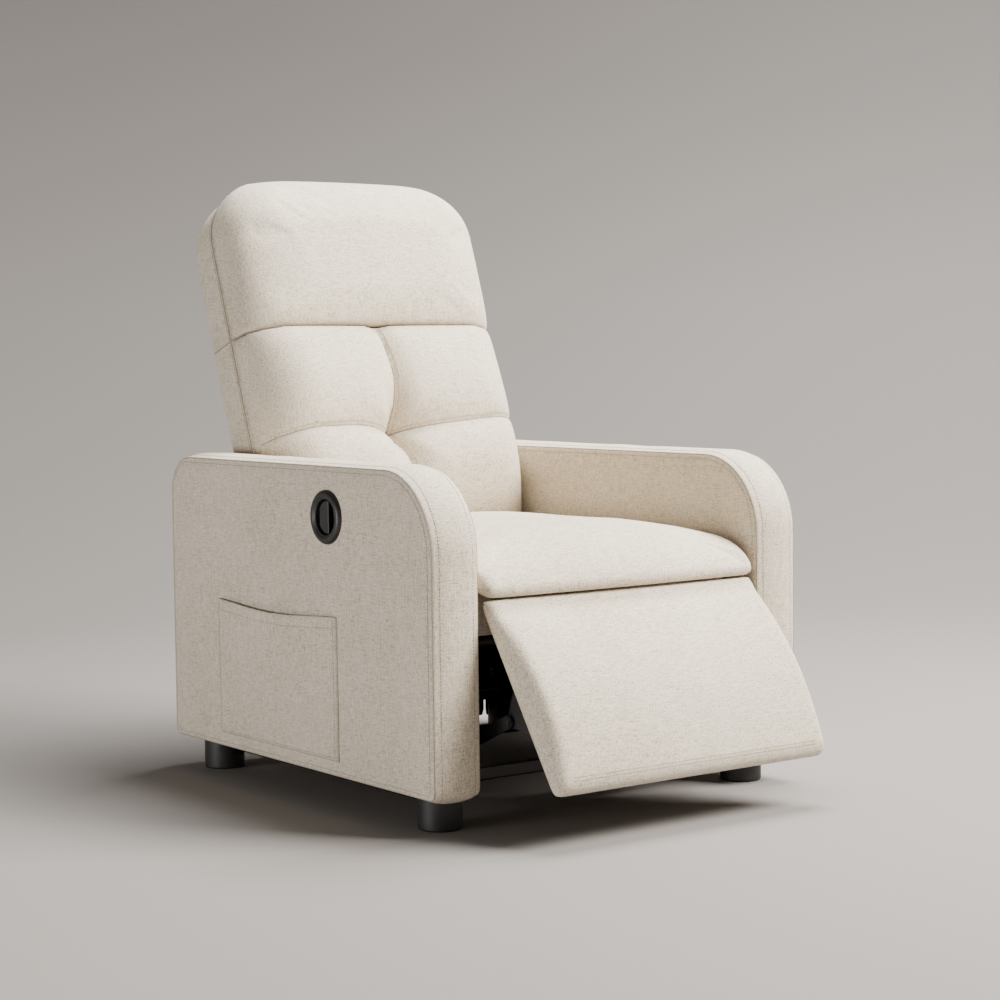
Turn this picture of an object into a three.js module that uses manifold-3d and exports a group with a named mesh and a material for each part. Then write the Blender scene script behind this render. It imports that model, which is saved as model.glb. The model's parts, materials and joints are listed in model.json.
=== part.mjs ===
// Recliner armchair: two padded arms on feet, a seat that glides on swing links, a back that
// reclines on the seat, and a footrest hinged under the seat's nose and lifted by a linkage.
// Units are millimetres. +Z is up and the sitter faces -Y, so the sitter's left is +X.
// A depth is measured backwards from the arms' front plane, and a height from the floor.
import * as THREE from 'three';
import * as BufferGeometryUtils from 'three/addons/utils/BufferGeometryUtils.js';
import Module from 'manifold-3d';

const wasm = await Module();
wasm.setup();

// ---------------------------------------------------------------- driving dimensions
const overallWidth = 720; // over the two arms
const armFrontY = -361.5; // y of the arms' front plane, so that the chair is centred on the origin
const fitGap = 0.3; // left between pieces that touch
const boltClearance = 0.3; // round a bolt, stud or tenon in its hole
const pivotClearance = 0.3; // round a pivot pin

// arms
const armLength = 790;
const armWidth = 85;
const armTop = 538;
const armFrontRadius = 125;
const armRearRadius = 65;
const armEdgeDrop = 8; // the crowned top and front fall by this much to the side seams
const armEdgeRun = 12;
const armPadding = 18; // foam round the board's edge
const armSidePadding = 12; // foam on the arm's two flat sides
const armBoardThickness = 12;
const armRailHeight = 45;

// feet
const footHeight = 54;
const footRadius = 34;
const footInset = 58; // from the arm's outer face to the foot's centre
const frontFootDepth = 70;
const rearFootInset = 68; // from the arm's rear end
const footStudRadius = 4;
const footStudLength = 25;

// side pocket on the right arm
const pocketFrontDepth = 254;
const pocketLength = 365;
const pocketBottom = 81;
const pocketHeight = 222;
const pocketRoom = 6.6; // between the arm and the pocket's panel
const pocketFabric = 2.4;
const pocketHem = 5;

// pull handle in the right arm
const handleDepth = 278;
const handleHeight = 458;
const bezelProud = 6;
const cupRadius = 32.5;
const bezelWidth = 10; // from the cup's wall out
const cupDepth = 27.5;
const cupWall = 2.5;
const paddleThickness = 4;
const paddleLip = 8; // the paddle's straight edge stands this far in front of the centre
const paddleHingeOffset = 26; // from the centre back to the hinge
const paddleHeelRelief = 3; // the paddle's rear half is drawn in by this, to turn inside the cup
const paddleHingeSink = 5;
const paddlePinRadius = 1.5;
const cableRadius = 3;
const cableSteps = 28;

// steel mechanism: flat plates stacked inwards from the arms
const plateThickness = 4;
const layerPitch = 7; // from one layer of plates to the next
const linkHalfWidth = 11;
const pivotRadius = 6;
const smallPivotRadius = 5;
const headGap = 0.4; // between a pin's head and the plate that it holds
const headSpare = 1; // between a pin's head and the next layer
const headOverhang = 3;
const tubeRadius = 10;
const tubeWall = 2.5;

// base plates and rails
const basePlateFront = 45;
const basePlateRearInset = 43; // from the arm's rear end
const basePlateBottom = 58;
const basePlateStripTop = 125;
const basePlateLobeTop = 180;
const baseRailSize = 16;
const baseRailHeight = 72;
const frontRailDepth = 80;
const rearRailInset = 90;
const plateBoltRadius = 4;
const plateBoltHeight = 110;
const plateBoltLength = 50;

// swing links that carry the seat
const swingLean = 20; // degrees backwards at rest
const swingLength = 110;
const swingTubeDrop = 75; // from the lower pivot down the link
const swingPivotHeight = 130;
const frontSwingDepth = 150;
const rearSwingDepth = 470;

// latch pawl on the right base plate
const pawlPivotDepth = 235;
const pawlPivotHeight = 140;
const pawlTailDepth = 262;
const pawlTailHeight = 165;

// seat
const seatSideGap = 7; // from the seat cushion to the arms
const seatFrontDepth = -12;
const seatRearDepth = 585;
const seatTop = 425;
const seatUnderside = 358;
const seatFrameRear = 565;
const seatFrameBottom = 290;
const seatFrameTop = 350;
const seatRailWidth = 25;
const borderThickness = 3;
const borderBottom = 283;
const springCount = 4;
const springWaves = 9;
const springHalfWidth = 26;
const springWire = 2;

// back, upright in its own frame with the recline pivot as origin
const backPivotDepth = 618;
const backPivotHeight = 305;
const backLean = 19.5; // degrees backwards at rest
const backSideGap = 9; // from the back to the arms
const backHeight = 738; // from the pivot to the crown
const backRearOffset = 43; // from the pivot to the rear face
const backFrontOffset = 40; // from the pivot to the cushions
const backShellBottom = 20;
const backCornerRadius = 118;
const lumbarBottom = 92;
const lumbarTop = 438;
const lumbarDepth = 137; // from the pivot to the fullest part
const headrestBottom = 442;
const headrestDepth = 146;
const cushionRoll = 58; // radius of the back cushions' front side edges
const backFrameBottom = 32;
const backFrameTop = 690;
const backFrameDepth = 30;
const backPostWidth = 30;
const backRailHeight = 60;
const bracketLength = 190;

// footrest, hanging straight down in its own frame with its hinge as origin
const footrestHingeDepth = 6;
const footrestHingeHeight = 325;
const footrestTilt = 33.5; // degrees forwards at rest
const footrestSideGap = 12; // from the footrest to the arms
const footrestNoseGap = 3; // from the footrest up to the seat's nose
const footrestSetback = 50; // from the closed footrest's back to the seat frame
const footrestFace = 18; // from the hinge forwards to the face
const footrestCrown = 28; // bulge of the face
const footrestCrownStart = 20; // from the hinge down to where the bulge begins
const footrestRoll = 34; // radius of the face's side edges
const footrestThickness = 30; // at the rim
const footrestDrop = 300; // from the hinge down to the bottom edge
const boardThickness = 12;
const boardMargin = 18; // of padding round the board's ends
const boardTop = 45; // below the hinge
const boardBottom = 285;
const hingeArmWidth = 15;
const hingeArmInset = 20.7; // from the footrest bracket's plate
const hingeArmThickness = 6;
const hingePinRadius = 4;
const hingeEyeRadius = 8;
const hingeEarThickness = 3;

// footrest linkage: an exact parallelogram between the seat and the footrest
const liftPivotStandoff = 50; // from the footrest's back to the lift pivot
const liftPivotDown = 150; // from the footrest hinge
const drivePivotBack = 130; // footrest hinge to drive pivot, backwards
const drivePivotDown = 60; // and down

// ---------------------------------------------------------------- derived places
const armOuter = overallWidth / 2;
const armInner = armOuter - armWidth;
const armBottom = footHeight;
const layerOuter = (layer) => armInner - fitGap - layer * layerPitch;
const layerInner = (layer) => layerOuter(layer) - plateThickness;
const layers = { base: 0, swing: 1, seat: 2, drive: 3, lift: 4, footrest: 5 };
const headThickness = layerPitch - plateThickness - headGap - headSpare;
const rearFootDepth = armLength - rearFootInset;
const rearRailDepth = armLength - rearRailInset;
const basePlateRear = armLength - basePlateRearInset;
const bezelRadius = cupRadius + bezelWidth;
const seatWidth = 2 * (armInner - seatSideGap);
const backWidth = 2 * (armInner - backSideGap);
const footrestWidth = 2 * (armInner - footrestSideGap);
const footrestBack = footrestThickness - footrestFace;
const noseUnderside = footrestHingeHeight + footrestFace + footrestNoseGap;
const seatFrameFront = footrestHingeDepth + footrestBack + footrestSetback;
const backFrameHalfWidth = layerInner(layers.drive) - fitGap;
const boardHalfWidth = footrestWidth / 2 - boardMargin;
const hingeArmOuter = layerInner(layers.footrest) - hingeArmInset;
const hingeArmInner = hingeArmOuter - hingeArmWidth;
const liftPivotBack = footrestBack + liftPivotStandoff;
const sides = [
  { name: 'left', sign: 1 },
  { name: 'right', sign: -1 },
];
const handleSign = -1; // the handle and the pocket are on the sitter's right

// ---------------------------------------------------------------- materials
const finish = (color, roughness, metalness = 0) =>
  new THREE.MeshStandardMaterial({ color, roughness, metalness });
const materials = {
  fabric: () => finish(0xd9d1c4, 0.95),
  lining: () => finish(0x2a2826, 0.9),
  wood: () => finish(0xc9a878, 0.7),
  plastic: () => finish(0x2b2b2a, 0.45),
  blackSteel: () => finish(0x1d1d1e, 0.5, 0.6),
  steel: () => finish(0x8d9093, 0.35, 0.9),
};

// ---------------------------------------------------------------- solids
function solid(geometry) {
  const bare = geometry.clone();
  bare.deleteAttribute('normal');
  bare.deleteAttribute('uv');
  const merged = BufferGeometryUtils.mergeVertices(bare, 1e-4);
  return new wasm.Manifold(new wasm.Mesh({
    numProp: 3,
    vertProperties: new Float32Array(merged.attributes.position.array),
    triVerts: new Uint32Array(merged.index.array),
  }));
}

const join = (...bodies) => bodies.reduce((sum, body) => sum.add(body));
const cut = (body, ...tools) => tools.reduce((rest, tool) => rest.subtract(tool), body);

function addPiece(parent, name, body, material) {
  const mesh = body.getMesh();
  const geometry = new THREE.BufferGeometry();
  geometry.setAttribute('position', new THREE.BufferAttribute(new Float32Array(mesh.vertProperties), 3));
  geometry.setIndex(new THREE.BufferAttribute(new Uint32Array(mesh.triVerts), 1));
  geometry.computeVertexNormals();
  const piece = new THREE.Mesh(geometry, material);
  piece.name = name;
  parent.add(piece);
  return piece;
}

// A box between two opposite corners.
function box(x0, y0, z0, x1, y1, z1) {
  const geometry = new THREE.BoxGeometry(Math.abs(x1 - x0), Math.abs(y1 - y0), Math.abs(z1 - z0));
  geometry.translate((x0 + x1) / 2, (y0 + y1) / 2, (z0 + z1) / 2);
  return solid(geometry);
}

// A round bar along x, y or z. The centre gives the two coordinates across the bar, in order.
function bar(axis, from, to, centre, radius, segments = 16) {
  const geometry = new THREE.CylinderGeometry(radius, radius, Math.abs(to - from), segments);
  const middle = (from + to) / 2;
  if (axis === 'x') geometry.rotateZ(-Math.PI / 2).translate(middle, centre[0], centre[1]);
  if (axis === 'y') geometry.translate(centre[0], middle, centre[1]);
  if (axis === 'z') geometry.rotateX(Math.PI / 2).translate(centre[0], centre[1], middle);
  return solid(geometry);
}

// A side-view shape (depth, height) carried across the chair from x0 to x1. The edge, where
// given, rounds the two end faces' rims: it falls by drop over the run along x.
function across(shape, x0, x1, edge) {
  const run = edge ? edge.run : 0;
  const geometry = new THREE.ExtrudeGeometry(shape, {
    depth: Math.abs(x1 - x0) - 2 * run,
    curveSegments: 6,
    bevelEnabled: Boolean(edge),
    bevelThickness: run,
    bevelSize: edge ? edge.drop : 0,
    bevelOffset: edge ? -edge.drop : 0,
    bevelSegments: 2,
  });
  const sideView = new THREE.Matrix4().makeBasis(
    new THREE.Vector3(0, 1, 0), new THREE.Vector3(0, 0, 1), new THREE.Vector3(1, 0, 0));
  geometry.applyMatrix4(sideView).translate(Math.min(x0, x1) + run, 0, 0);
  return solid(geometry);
}

// A front-view shape (x, height) carried backwards from y0 to y1.
function backwards(shape, y0, y1) {
  const geometry = new THREE.ExtrudeGeometry(shape, {
    depth: y1 - y0, curveSegments: 8, bevelEnabled: false,
  });
  geometry.rotateX(Math.PI / 2).translate(0, y1, 0);
  return solid(geometry);
}

// A top-view shape (x, depth) carried up from z0 to z1.
function upwards(shape, z0, z1) {
  const geometry = new THREE.ExtrudeGeometry(shape, {
    depth: z1 - z0, curveSegments: 6, bevelEnabled: false,
  });
  return solid(geometry.translate(0, 0, z0));
}

// A solid of revolution: the profile's points are (radius, along the axis).
function turned(profile, segments) {
  const points = profile.map(([radius, along]) => new THREE.Vector2(radius, along));
  return new THREE.LatheGeometry(points, segments);
}

// A round wire or hose along a curve.
function swept(curve, radius, steps, sectionSides = 8) {
  const section = new THREE.Shape();
  for (let i = 0; i < sectionSides; i += 1) {
    const angle = (2 * Math.PI * i) / sectionSides;
    const x = radius * Math.cos(angle);
    const y = radius * Math.sin(angle);
    if (i === 0) section.moveTo(x, y);
    else section.lineTo(x, y);
  }
  section.closePath();
  return solid(new THREE.ExtrudeGeometry(section, { extrudePath: curve, steps, bevelEnabled: false }));
}

// A rectangle from (a0, b0) to (a1, b1) with a radius for each corner, in the order
// low-low, high-low, high-high, low-high.
function roundedRectangle(a0, b0, a1, b1, radii) {
  const [r0, r1, r2, r3] = radii;
  const quarter = Math.PI / 2;
  const shape = new THREE.Shape();
  shape.moveTo(a0 + r0, b0);
  shape.lineTo(a1 - r1, b0);
  if (r1) shape.absarc(a1 - r1, b0 + r1, r1, -quarter, 0);
  shape.lineTo(a1, b1 - r2);
  if (r2) shape.absarc(a1 - r2, b1 - r2, r2, 0, quarter);
  shape.lineTo(a0 + r3, b1);
  if (r3) shape.absarc(a0 + r3, b1 - r3, r3, quarter, 2 * quarter);
  shape.lineTo(a0, b0 + r0);
  if (r0) shape.absarc(a0 + r0, b0 + r0, r0, 2 * quarter, 3 * quarter);
  return shape;
}

function polygon(points) {
  const shape = new THREE.Shape();
  points.forEach(([a, b], index) => (index ? shape.lineTo(a, b) : shape.moveTo(a, b)));
  shape.closePath();
  return shape;
}

// A flat link with round ends from one pivot to another, both (depth, height).
function linkShape(from, to, halfWidth) {
  const angle = Math.atan2(to[1] - from[1], to[0] - from[0]);
  const quarter = Math.PI / 2;
  const shape = new THREE.Shape();
  shape.absarc(to[0], to[1], halfWidth, angle - quarter, angle + quarter);
  shape.absarc(from[0], from[1], halfWidth, angle + quarter, angle + 3 * quarter);
  return shape;
}

// A plate in one of the mechanism's layers.
const plate = (shape, layer, sign) => across(shape, sign * layerInner(layer), sign * layerOuter(layer));

const layerHole = (layer, sign, centre, radius) =>
  bar('x', sign * (layerInner(layer) - 1), sign * (layerOuter(layer) + 1), centre, radius);

// A headed pivot pin that grows from one layer's plate through its neighbour's.
function headedPin(fromLayer, toLayer, sign, centre, radius) {
  const inwards = toLayer > fromLayer;
  const start = inwards ? layerInner(fromLayer) + 1 : layerOuter(fromLayer) - 1;
  const neck = inwards ? layerInner(toLayer) - headGap : layerOuter(toLayer) + headGap;
  const end = inwards ? neck - headThickness : neck + headThickness;
  return join(
    bar('x', sign * start, sign * end, centre, radius),
    bar('x', sign * neck, sign * end, centre, radius + headOverhang));
}

// ---------------------------------------------------------------- groups
const chair = new THREE.Group();
const frontPlane = new THREE.Group(); // y is the depth behind the arms' front plane
frontPlane.position.y = armFrontY;
chair.add(frontPlane);

function pivotGroup(depth, height, leanDegrees) {
  const group = new THREE.Group();
  group.position.set(0, depth, height);
  group.rotation.x = -THREE.MathUtils.degToRad(leanDegrees);
  frontPlane.add(group);
  return group;
}

// ---------------------------------------------------------------- arms
const postHalfWidth = footRadius;
const armBoardOuter = armOuter - armSidePadding;
const armBoardInner = armBoardOuter - armBoardThickness;
const armPostInner = armInner + armSidePadding;
const boltEnd = layerInner(layers.base) + plateBoltLength;
const footCentre = armOuter - footInset;

const cableRoute = (sign) => new THREE.CatmullRomCurve3([
  new THREE.Vector3(sign * (armOuter - cupDepth + 0.5), handleDepth + 14, handleHeight),
  new THREE.Vector3(sign * (armOuter - cupDepth - 12), handleDepth + 14, handleHeight),
  new THREE.Vector3(sign * (armInner + 37), handleDepth + 14, handleHeight - 30),
  new THREE.Vector3(sign * (armInner + 37), handleDepth + 10, 330),
  new THREE.Vector3(sign * (armInner + 34), pawlTailDepth + 6, pawlTailHeight + 50),
  new THREE.Vector3(sign * (armInner + 26), pawlTailDepth, pawlTailHeight + 8),
  new THREE.Vector3(sign * (armInner + 12), pawlTailDepth, pawlTailHeight),
  new THREE.Vector3(sign * (layerOuter(layers.swing) + 0.6), pawlTailDepth, pawlTailHeight),
]);

// The wooden frame inside an arm: a board with two posts and two rails on its inner side.
// grow widens it all round, for the hollow that the padding leaves for it.
function armFrame(sign, grow) {
  const board = roundedRectangle(
    armPadding - grow, armBottom - grow * 20, armLength - armPadding + grow, armTop - armPadding + grow,
    [0, 0, armRearRadius - armPadding + grow, armFrontRadius - armPadding + grow]);
  const inner = sign * (armPostInner - grow);
  const outer = sign * (armBoardInner + 1);
  const bottom = armBottom - grow * 20;
  const post = (depth, top) =>
    box(inner, depth - postHalfWidth - grow, bottom, outer, depth + postHalfWidth + grow, top + grow);
  const rail = (low, high) =>
    box(inner, frontFootDepth, low - grow, outer, rearFootDepth, high + grow);
  const topRail = armTop - armPadding - 2;
  return join(
    across(board, sign * (armBoardInner - grow), sign * (armBoardOuter + grow)),
    post(frontFootDepth, armTop - armFrontRadius / 2 - armPadding + 8),
    post(rearFootDepth, armTop - armRearRadius / 2 - armPadding + 6),
    rail(armBottom + 6, armBottom + 6 + armRailHeight),
    rail(topRail - armRailHeight / 2, topRail));
}

const armOutline = roundedRectangle(0, armBottom, armLength, armTop,
  [12, 12, armRearRadius, armFrontRadius]);

for (const { name, sign } of sides) {
  let cover = cut(
    across(armOutline, sign * armInner, sign * armOuter, { drop: armEdgeDrop, run: armEdgeRun }),
    armFrame(sign, fitGap));
  let frame = armFrame(sign, 0);
  for (const depth of [frontFootDepth, rearFootDepth]) {
    const hole = (radius) =>
      bar('x', sign * (armInner - 2), sign * (boltEnd + 2), [depth, plateBoltHeight], radius);
    cover = cut(cover, hole(plateBoltRadius + 2 * boltClearance));
    frame = cut(frame,
      hole(plateBoltRadius + boltClearance),
      bar('z', armBottom - 2, armBottom + footStudLength + 2, [sign * footCentre, depth],
        footStudRadius + boltClearance, 16));
  }
  if (sign === handleSign) {
    const cupBack = sign * (armOuter - cupDepth - cupWall - fitGap);
    const cupHole = bar('x', cupBack, sign * (armOuter + 5), [handleDepth, handleHeight],
      cupRadius + cupWall + fitGap, 30);
    cover = cut(cover, cupHole, swept(cableRoute(sign), cableRadius + 1, cableSteps, 6));
    frame = cut(frame, cupHole);
  }
  addPiece(frontPlane, `arm_cover_${name}`, cover, materials.fabric());
  addPiece(frontPlane, `arm_frame_${name}`, frame, materials.wood());
}

// ---------------------------------------------------------------- feet
const footBevel = 4;
const footGeometry = turned([
  [0, 0], [footRadius - footBevel, 0], [footRadius, footBevel], [footRadius, footHeight - fitGap],
  [footStudRadius, footHeight - fitGap], [footStudRadius, footHeight + footStudLength],
  [0, footHeight + footStudLength],
], 24).rotateX(Math.PI / 2);

for (const { name, sign } of sides) {
  for (const [end, depth] of [['front', frontFootDepth], ['rear', rearFootDepth]]) {
    const foot = solid(footGeometry.clone().translate(sign * footCentre, depth, 0));
    addPiece(frontPlane, `foot_${end}_${name}`, foot, materials.plastic());
  }
}

// ---------------------------------------------------------------- side pocket
{
  const face = handleSign * (armOuter + fitGap);
  const panelInner = handleSign * (armOuter + fitGap + pocketRoom);
  const panelOuter = handleSign * (armOuter + fitGap + pocketRoom + pocketFabric);
  const rear = pocketFrontDepth + pocketLength;
  const top = pocketBottom + pocketHeight;
  const outline = roundedRectangle(pocketFrontDepth, pocketBottom, rear, top, [14, 14, 0, 0]);
  const room = roundedRectangle(pocketFrontDepth + pocketHem, pocketBottom + pocketHem,
    rear - pocketHem, top + 5, [10, 10, 0, 0]);
  const pocket = cut(across(outline, face, panelOuter), across(room, face - handleSign, panelInner));
  addPiece(frontPlane, 'side_pocket', pocket, materials.fabric());
}

// ---------------------------------------------------------------- pull handle
const hingeX = handleSign * (armOuter - paddleHingeSink);
const hingeDepth = handleDepth + paddleHingeOffset;

{
  const outwards = new THREE.Matrix4().makeRotationZ(Math.PI / 2); // the axis points to -X
  const flangeBack = fitGap;
  const bezel = turned([
    [0, -cupDepth - cupWall], [cupRadius + cupWall, -cupDepth - cupWall],
    [cupRadius + cupWall, flangeBack], [bezelRadius, flangeBack], [bezelRadius, bezelProud / 2],
    [bezelRadius - 2.5, bezelProud], [cupRadius + 2.5, bezelProud], [cupRadius, bezelProud / 2],
    [cupRadius, -cupDepth], [0, -cupDepth],
  ], 30).applyMatrix4(outwards).translate(handleSign * armOuter, handleDepth, handleHeight);
  const pinReach = Math.sqrt((cupRadius + cupWall) ** 2 - paddleHingeOffset ** 2);
  const cableHole = bar('x', handleSign * (armOuter - cupDepth - cupWall - 1),
    handleSign * (armOuter - cupDepth + 1), [handleDepth + 14, handleHeight], cableRadius + 0.6, 16);
  const pinHole = bar('z', handleHeight - pinReach - 2, handleHeight + pinReach + 2,
    [hingeX, hingeDepth], paddlePinRadius + 0.2, 12);
  addPiece(frontPlane, 'handle_bezel', cut(solid(bezel), cableHole, pinHole), materials.plastic());

  const pinHalfLength = pinReach - 1.5;
  addPiece(frontPlane, 'paddle_pin', bar('z', handleHeight - pinHalfLength, handleHeight + pinHalfLength,
    [hingeX, hingeDepth], paddlePinRadius, 12), materials.steel());

  const paddleRadius = cupRadius - 1.2;
  const lipAngle = Math.acos(-paddleLip / paddleRadius);
  const heelAngle = Math.acos(paddleHingeOffset / paddleRadius);
  const outline = new THREE.Shape();
  outline.absarc(0, 0, paddleRadius, heelAngle, lipAngle);
  outline.absarc(0, 0, paddleRadius, -lipAngle, -heelAngle);
  const faceX = handleSign * (armOuter + 1);
  const backX = handleSign * (armOuter + 1 - paddleThickness);
  const barrelRadius = paddlePinRadius + 2.1;
  const barrelHalf = Math.sqrt(cupRadius ** 2 - (paddleHingeOffset + barrelRadius) ** 2) - 1;
  const heelRelief = bar('x', backX - 1, faceX + 1, [handleDepth - paddleHeelRelief, handleHeight],
    paddleRadius, 30);
  const face = across(outline, backX, faceX).translate([0, handleDepth, handleHeight])
    .intersect(heelRelief);
  const barrel = bar('z', handleHeight - barrelHalf, handleHeight + barrelHalf,
    [hingeX, hingeDepth], barrelRadius, 20);
  const tail = box(hingeX, hingeDepth - 3, handleHeight - 4,
    hingeX - handleSign * 18, hingeDepth + 3, handleHeight + 4);
  const groove = box(faceX - handleSign * 1, handleDepth - 0.8, handleHeight - paddleRadius,
    faceX + handleSign * 1, handleDepth + 0.8, handleHeight + paddleRadius);
  const bore = bar('z', handleHeight - paddleRadius, handleHeight + paddleRadius,
    [hingeX, hingeDepth], paddlePinRadius + 0.3, 16);
  addPiece(frontPlane, 'handle_paddle', cut(join(face, barrel, tail), groove, bore), materials.plastic());

  const cable = swept(cableRoute(handleSign), cableRadius, cableSteps, 6);
  addPiece(frontPlane, 'release_cable', cable, materials.plastic());
}

// ---------------------------------------------------------------- base plates and rails
const basePlateOutline = polygon([
  [basePlateFront, basePlateBottom], [basePlateRear, basePlateBottom],
  [basePlateRear, basePlateStripTop], [rearSwingDepth + 60, basePlateStripTop],
  [rearSwingDepth + 25, swingPivotHeight + 24], [rearSwingDepth - 25, swingPivotHeight + 24],
  [rearSwingDepth - 60, basePlateStripTop], [pawlTailDepth + 70, basePlateStripTop],
  [pawlTailDepth + 18, basePlateLobeTop], [pawlPivotDepth, basePlateLobeTop],
  [frontSwingDepth + 15, swingPivotHeight + 24], [frontSwingDepth - 25, swingPivotHeight + 24],
  [frontSwingDepth - 60, basePlateStripTop], [basePlateFront, basePlateStripTop],
]);
const baseRails = [['front', frontRailDepth], ['rear', rearRailDepth]];
const tenonRadius = 5;

for (const { name, sign } of sides) {
  const swingPins = [frontSwingDepth, rearSwingDepth].map((depth) =>
    headedPin(layers.base, layers.swing, sign, [depth, swingPivotHeight], pivotRadius));
  let basePlate = join(plate(basePlateOutline, layers.base, sign), ...swingPins);
  for (const depth of [frontFootDepth, rearFootDepth]) {
    basePlate = cut(basePlate,
      layerHole(layers.base, sign, [depth, plateBoltHeight], plateBoltRadius + boltClearance));
  }
  for (const [, depth] of baseRails) {
    basePlate = cut(basePlate,
      layerHole(layers.base, sign, [depth, baseRailHeight], tenonRadius + boltClearance));
  }
  if (sign === handleSign) {
    basePlate = join(basePlate,
      headedPin(layers.base, layers.swing, sign, [pawlPivotDepth, pawlPivotHeight], pivotRadius));
    basePlate = cut(basePlate,
      layerHole(layers.base, sign, [pawlTailDepth, pawlTailHeight], cableRadius + 1.5));
  }
  addPiece(frontPlane, `base_plate_${name}`, basePlate, materials.blackSteel());

  for (const [end, depth] of [['front', frontFootDepth], ['rear', rearFootDepth]]) {
    const headOuter = layerInner(layers.base) - fitGap;
    const head = bar('x', sign * (headOuter - 5), sign * headOuter, [depth, plateBoltHeight], 7.5, 6);
    const shank = bar('x', sign * (headOuter - 1), sign * boltEnd, [depth, plateBoltHeight], plateBoltRadius);
    addPiece(frontPlane, `arm_bolt_${end}_${name}`, join(head, shank), materials.steel());
  }
}

for (const [end, depth] of baseRails) {
  const half = baseRailSize / 2;
  const reach = layerInner(layers.base) - fitGap;
  const tenonReach = layerOuter(layers.base) - fitGap;
  const rail = join(
    box(-reach, depth - half, baseRailHeight - half, reach, depth + half, baseRailHeight + half),
    bar('x', -tenonReach, tenonReach, [depth, baseRailHeight], tenonRadius, 16));
  addPiece(frontPlane, `base_rail_${end}`, rail, materials.blackSteel());
}

// ---------------------------------------------------------------- latch pawl
{
  const noseDepth = frontSwingDepth + 32;
  const outline = polygon([
    [pawlPivotDepth + 4, pawlPivotHeight - 12], [pawlPivotDepth + 14, pawlPivotHeight - 4],
    [pawlTailDepth + 8, pawlTailHeight - 4], [pawlTailDepth + 4, pawlTailHeight + 8],
    [pawlTailDepth - 8, pawlTailHeight + 6], [pawlPivotDepth, pawlPivotHeight + 16],
    [noseDepth + 14, pawlPivotHeight + 48], [noseDepth, pawlPivotHeight + 40],
    [noseDepth + 8, pawlPivotHeight + 30], [pawlPivotDepth - 14, pawlPivotHeight - 4],
  ]);
  const pawl = cut(plate(outline, layers.swing, handleSign),
    layerHole(layers.swing, handleSign, [pawlPivotDepth, pawlPivotHeight], pivotRadius + pivotClearance));
  addPiece(frontPlane, 'latch_pawl', pawl, materials.steel());
}

// ---------------------------------------------------------------- swing links
const hollowTube = (reach, centre) => cut(
  bar('x', -reach, reach, centre, tubeRadius, 20),
  bar('x', -reach - 1, reach + 1, centre, tubeRadius - tubeWall, 20));

for (const [end, depth] of [['front', frontSwingDepth], ['rear', rearSwingDepth]]) {
  const swing = pivotGroup(depth, swingPivotHeight, swingLean);
  for (const { name, sign } of sides) {
    const shape = linkShape([0, -swingTubeDrop], [0, swingLength], linkHalfWidth);
    const link = cut(plate(shape, layers.swing, sign),
      layerHole(layers.swing, sign, [0, 0], pivotRadius + pivotClearance),
      layerHole(layers.swing, sign, [0, swingLength], pivotRadius + pivotClearance));
    addPiece(swing, `${end}_swing_link_${name}`, link, materials.blackSteel());
  }
  const tube = hollowTube(layerInner(layers.swing) - fitGap, [0, -swingTubeDrop]);
  addPiece(swing, `${end}_swing_tube`, tube, materials.blackSteel());
}

const swingTop = (depth) => {
  const lean = THREE.MathUtils.degToRad(swingLean);
  return [depth + swingLength * Math.sin(lean), swingPivotHeight + swingLength * Math.cos(lean)];
};
const seatPivots = [swingTop(frontSwingDepth), swingTop(rearSwingDepth)];
const drivePivot = [footrestHingeDepth + drivePivotBack, footrestHingeHeight - drivePivotDown];
const backPivot = [backPivotDepth, backPivotHeight];

// ---------------------------------------------------------------- seat
const seatFrameHalf = layerInner(layers.seat) - fitGap;
{
  const outer = box(-seatFrameHalf, seatFrameFront, seatFrameBottom,
    seatFrameHalf, seatFrameRear, seatFrameTop);
  const window = box(-seatFrameHalf + seatRailWidth, seatFrameFront + seatRailWidth, seatFrameBottom - 5,
    seatFrameHalf - seatRailWidth, seatFrameRear - seatRailWidth, seatFrameTop + 5);
  addPiece(frontPlane, 'seat_frame', cut(outer, window), materials.wood());
}

for (const { name, sign } of sides) {
  const [frontTop, rearTop] = seatPivots;
  const outline = polygon([
    [drivePivot[0] - 26, seatFrameBottom + 30], [drivePivot[0] - 26, drivePivot[1] - 6],
    [drivePivot[0] - 8, drivePivot[1] - 18], [frontTop[0] - 16, frontTop[1] - 14],
    [frontTop[0] + 14, frontTop[1] - 18], [frontTop[0] + 60, seatFrameBottom - 12],
    [rearTop[0] - 60, seatFrameBottom - 12], [rearTop[0] - 16, rearTop[1] - 18],
    [rearTop[0] + 16, rearTop[1] - 18], [rearTop[0] + 50, seatFrameBottom - 16],
    [backPivot[0] + 4, backPivot[1] - 16], [backPivot[0] + 15, backPivot[1] - 6],
    [backPivot[0] + 15, backPivot[1] + 6], [backPivot[0] + 4, backPivot[1] + 16],
    [backPivot[0] - 40, backPivot[1] + 16], [seatFrameRear - 20, seatFrameBottom + 40],
  ]);
  const journal = bar('x', sign * (layerInner(layers.seat) + 1), sign * (layerInner(layers.drive) - 24),
    drivePivot, pivotRadius);
  const seatPlate = join(
    plate(outline, layers.seat, sign),
    journal,
    headedPin(layers.seat, layers.drive, sign, backPivot, pivotRadius),
    ...seatPivots.map((pivot) => headedPin(layers.seat, layers.swing, sign, pivot, pivotRadius)));
  addPiece(frontPlane, `seat_plate_${name}`, seatPlate, materials.blackSteel());
}

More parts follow.
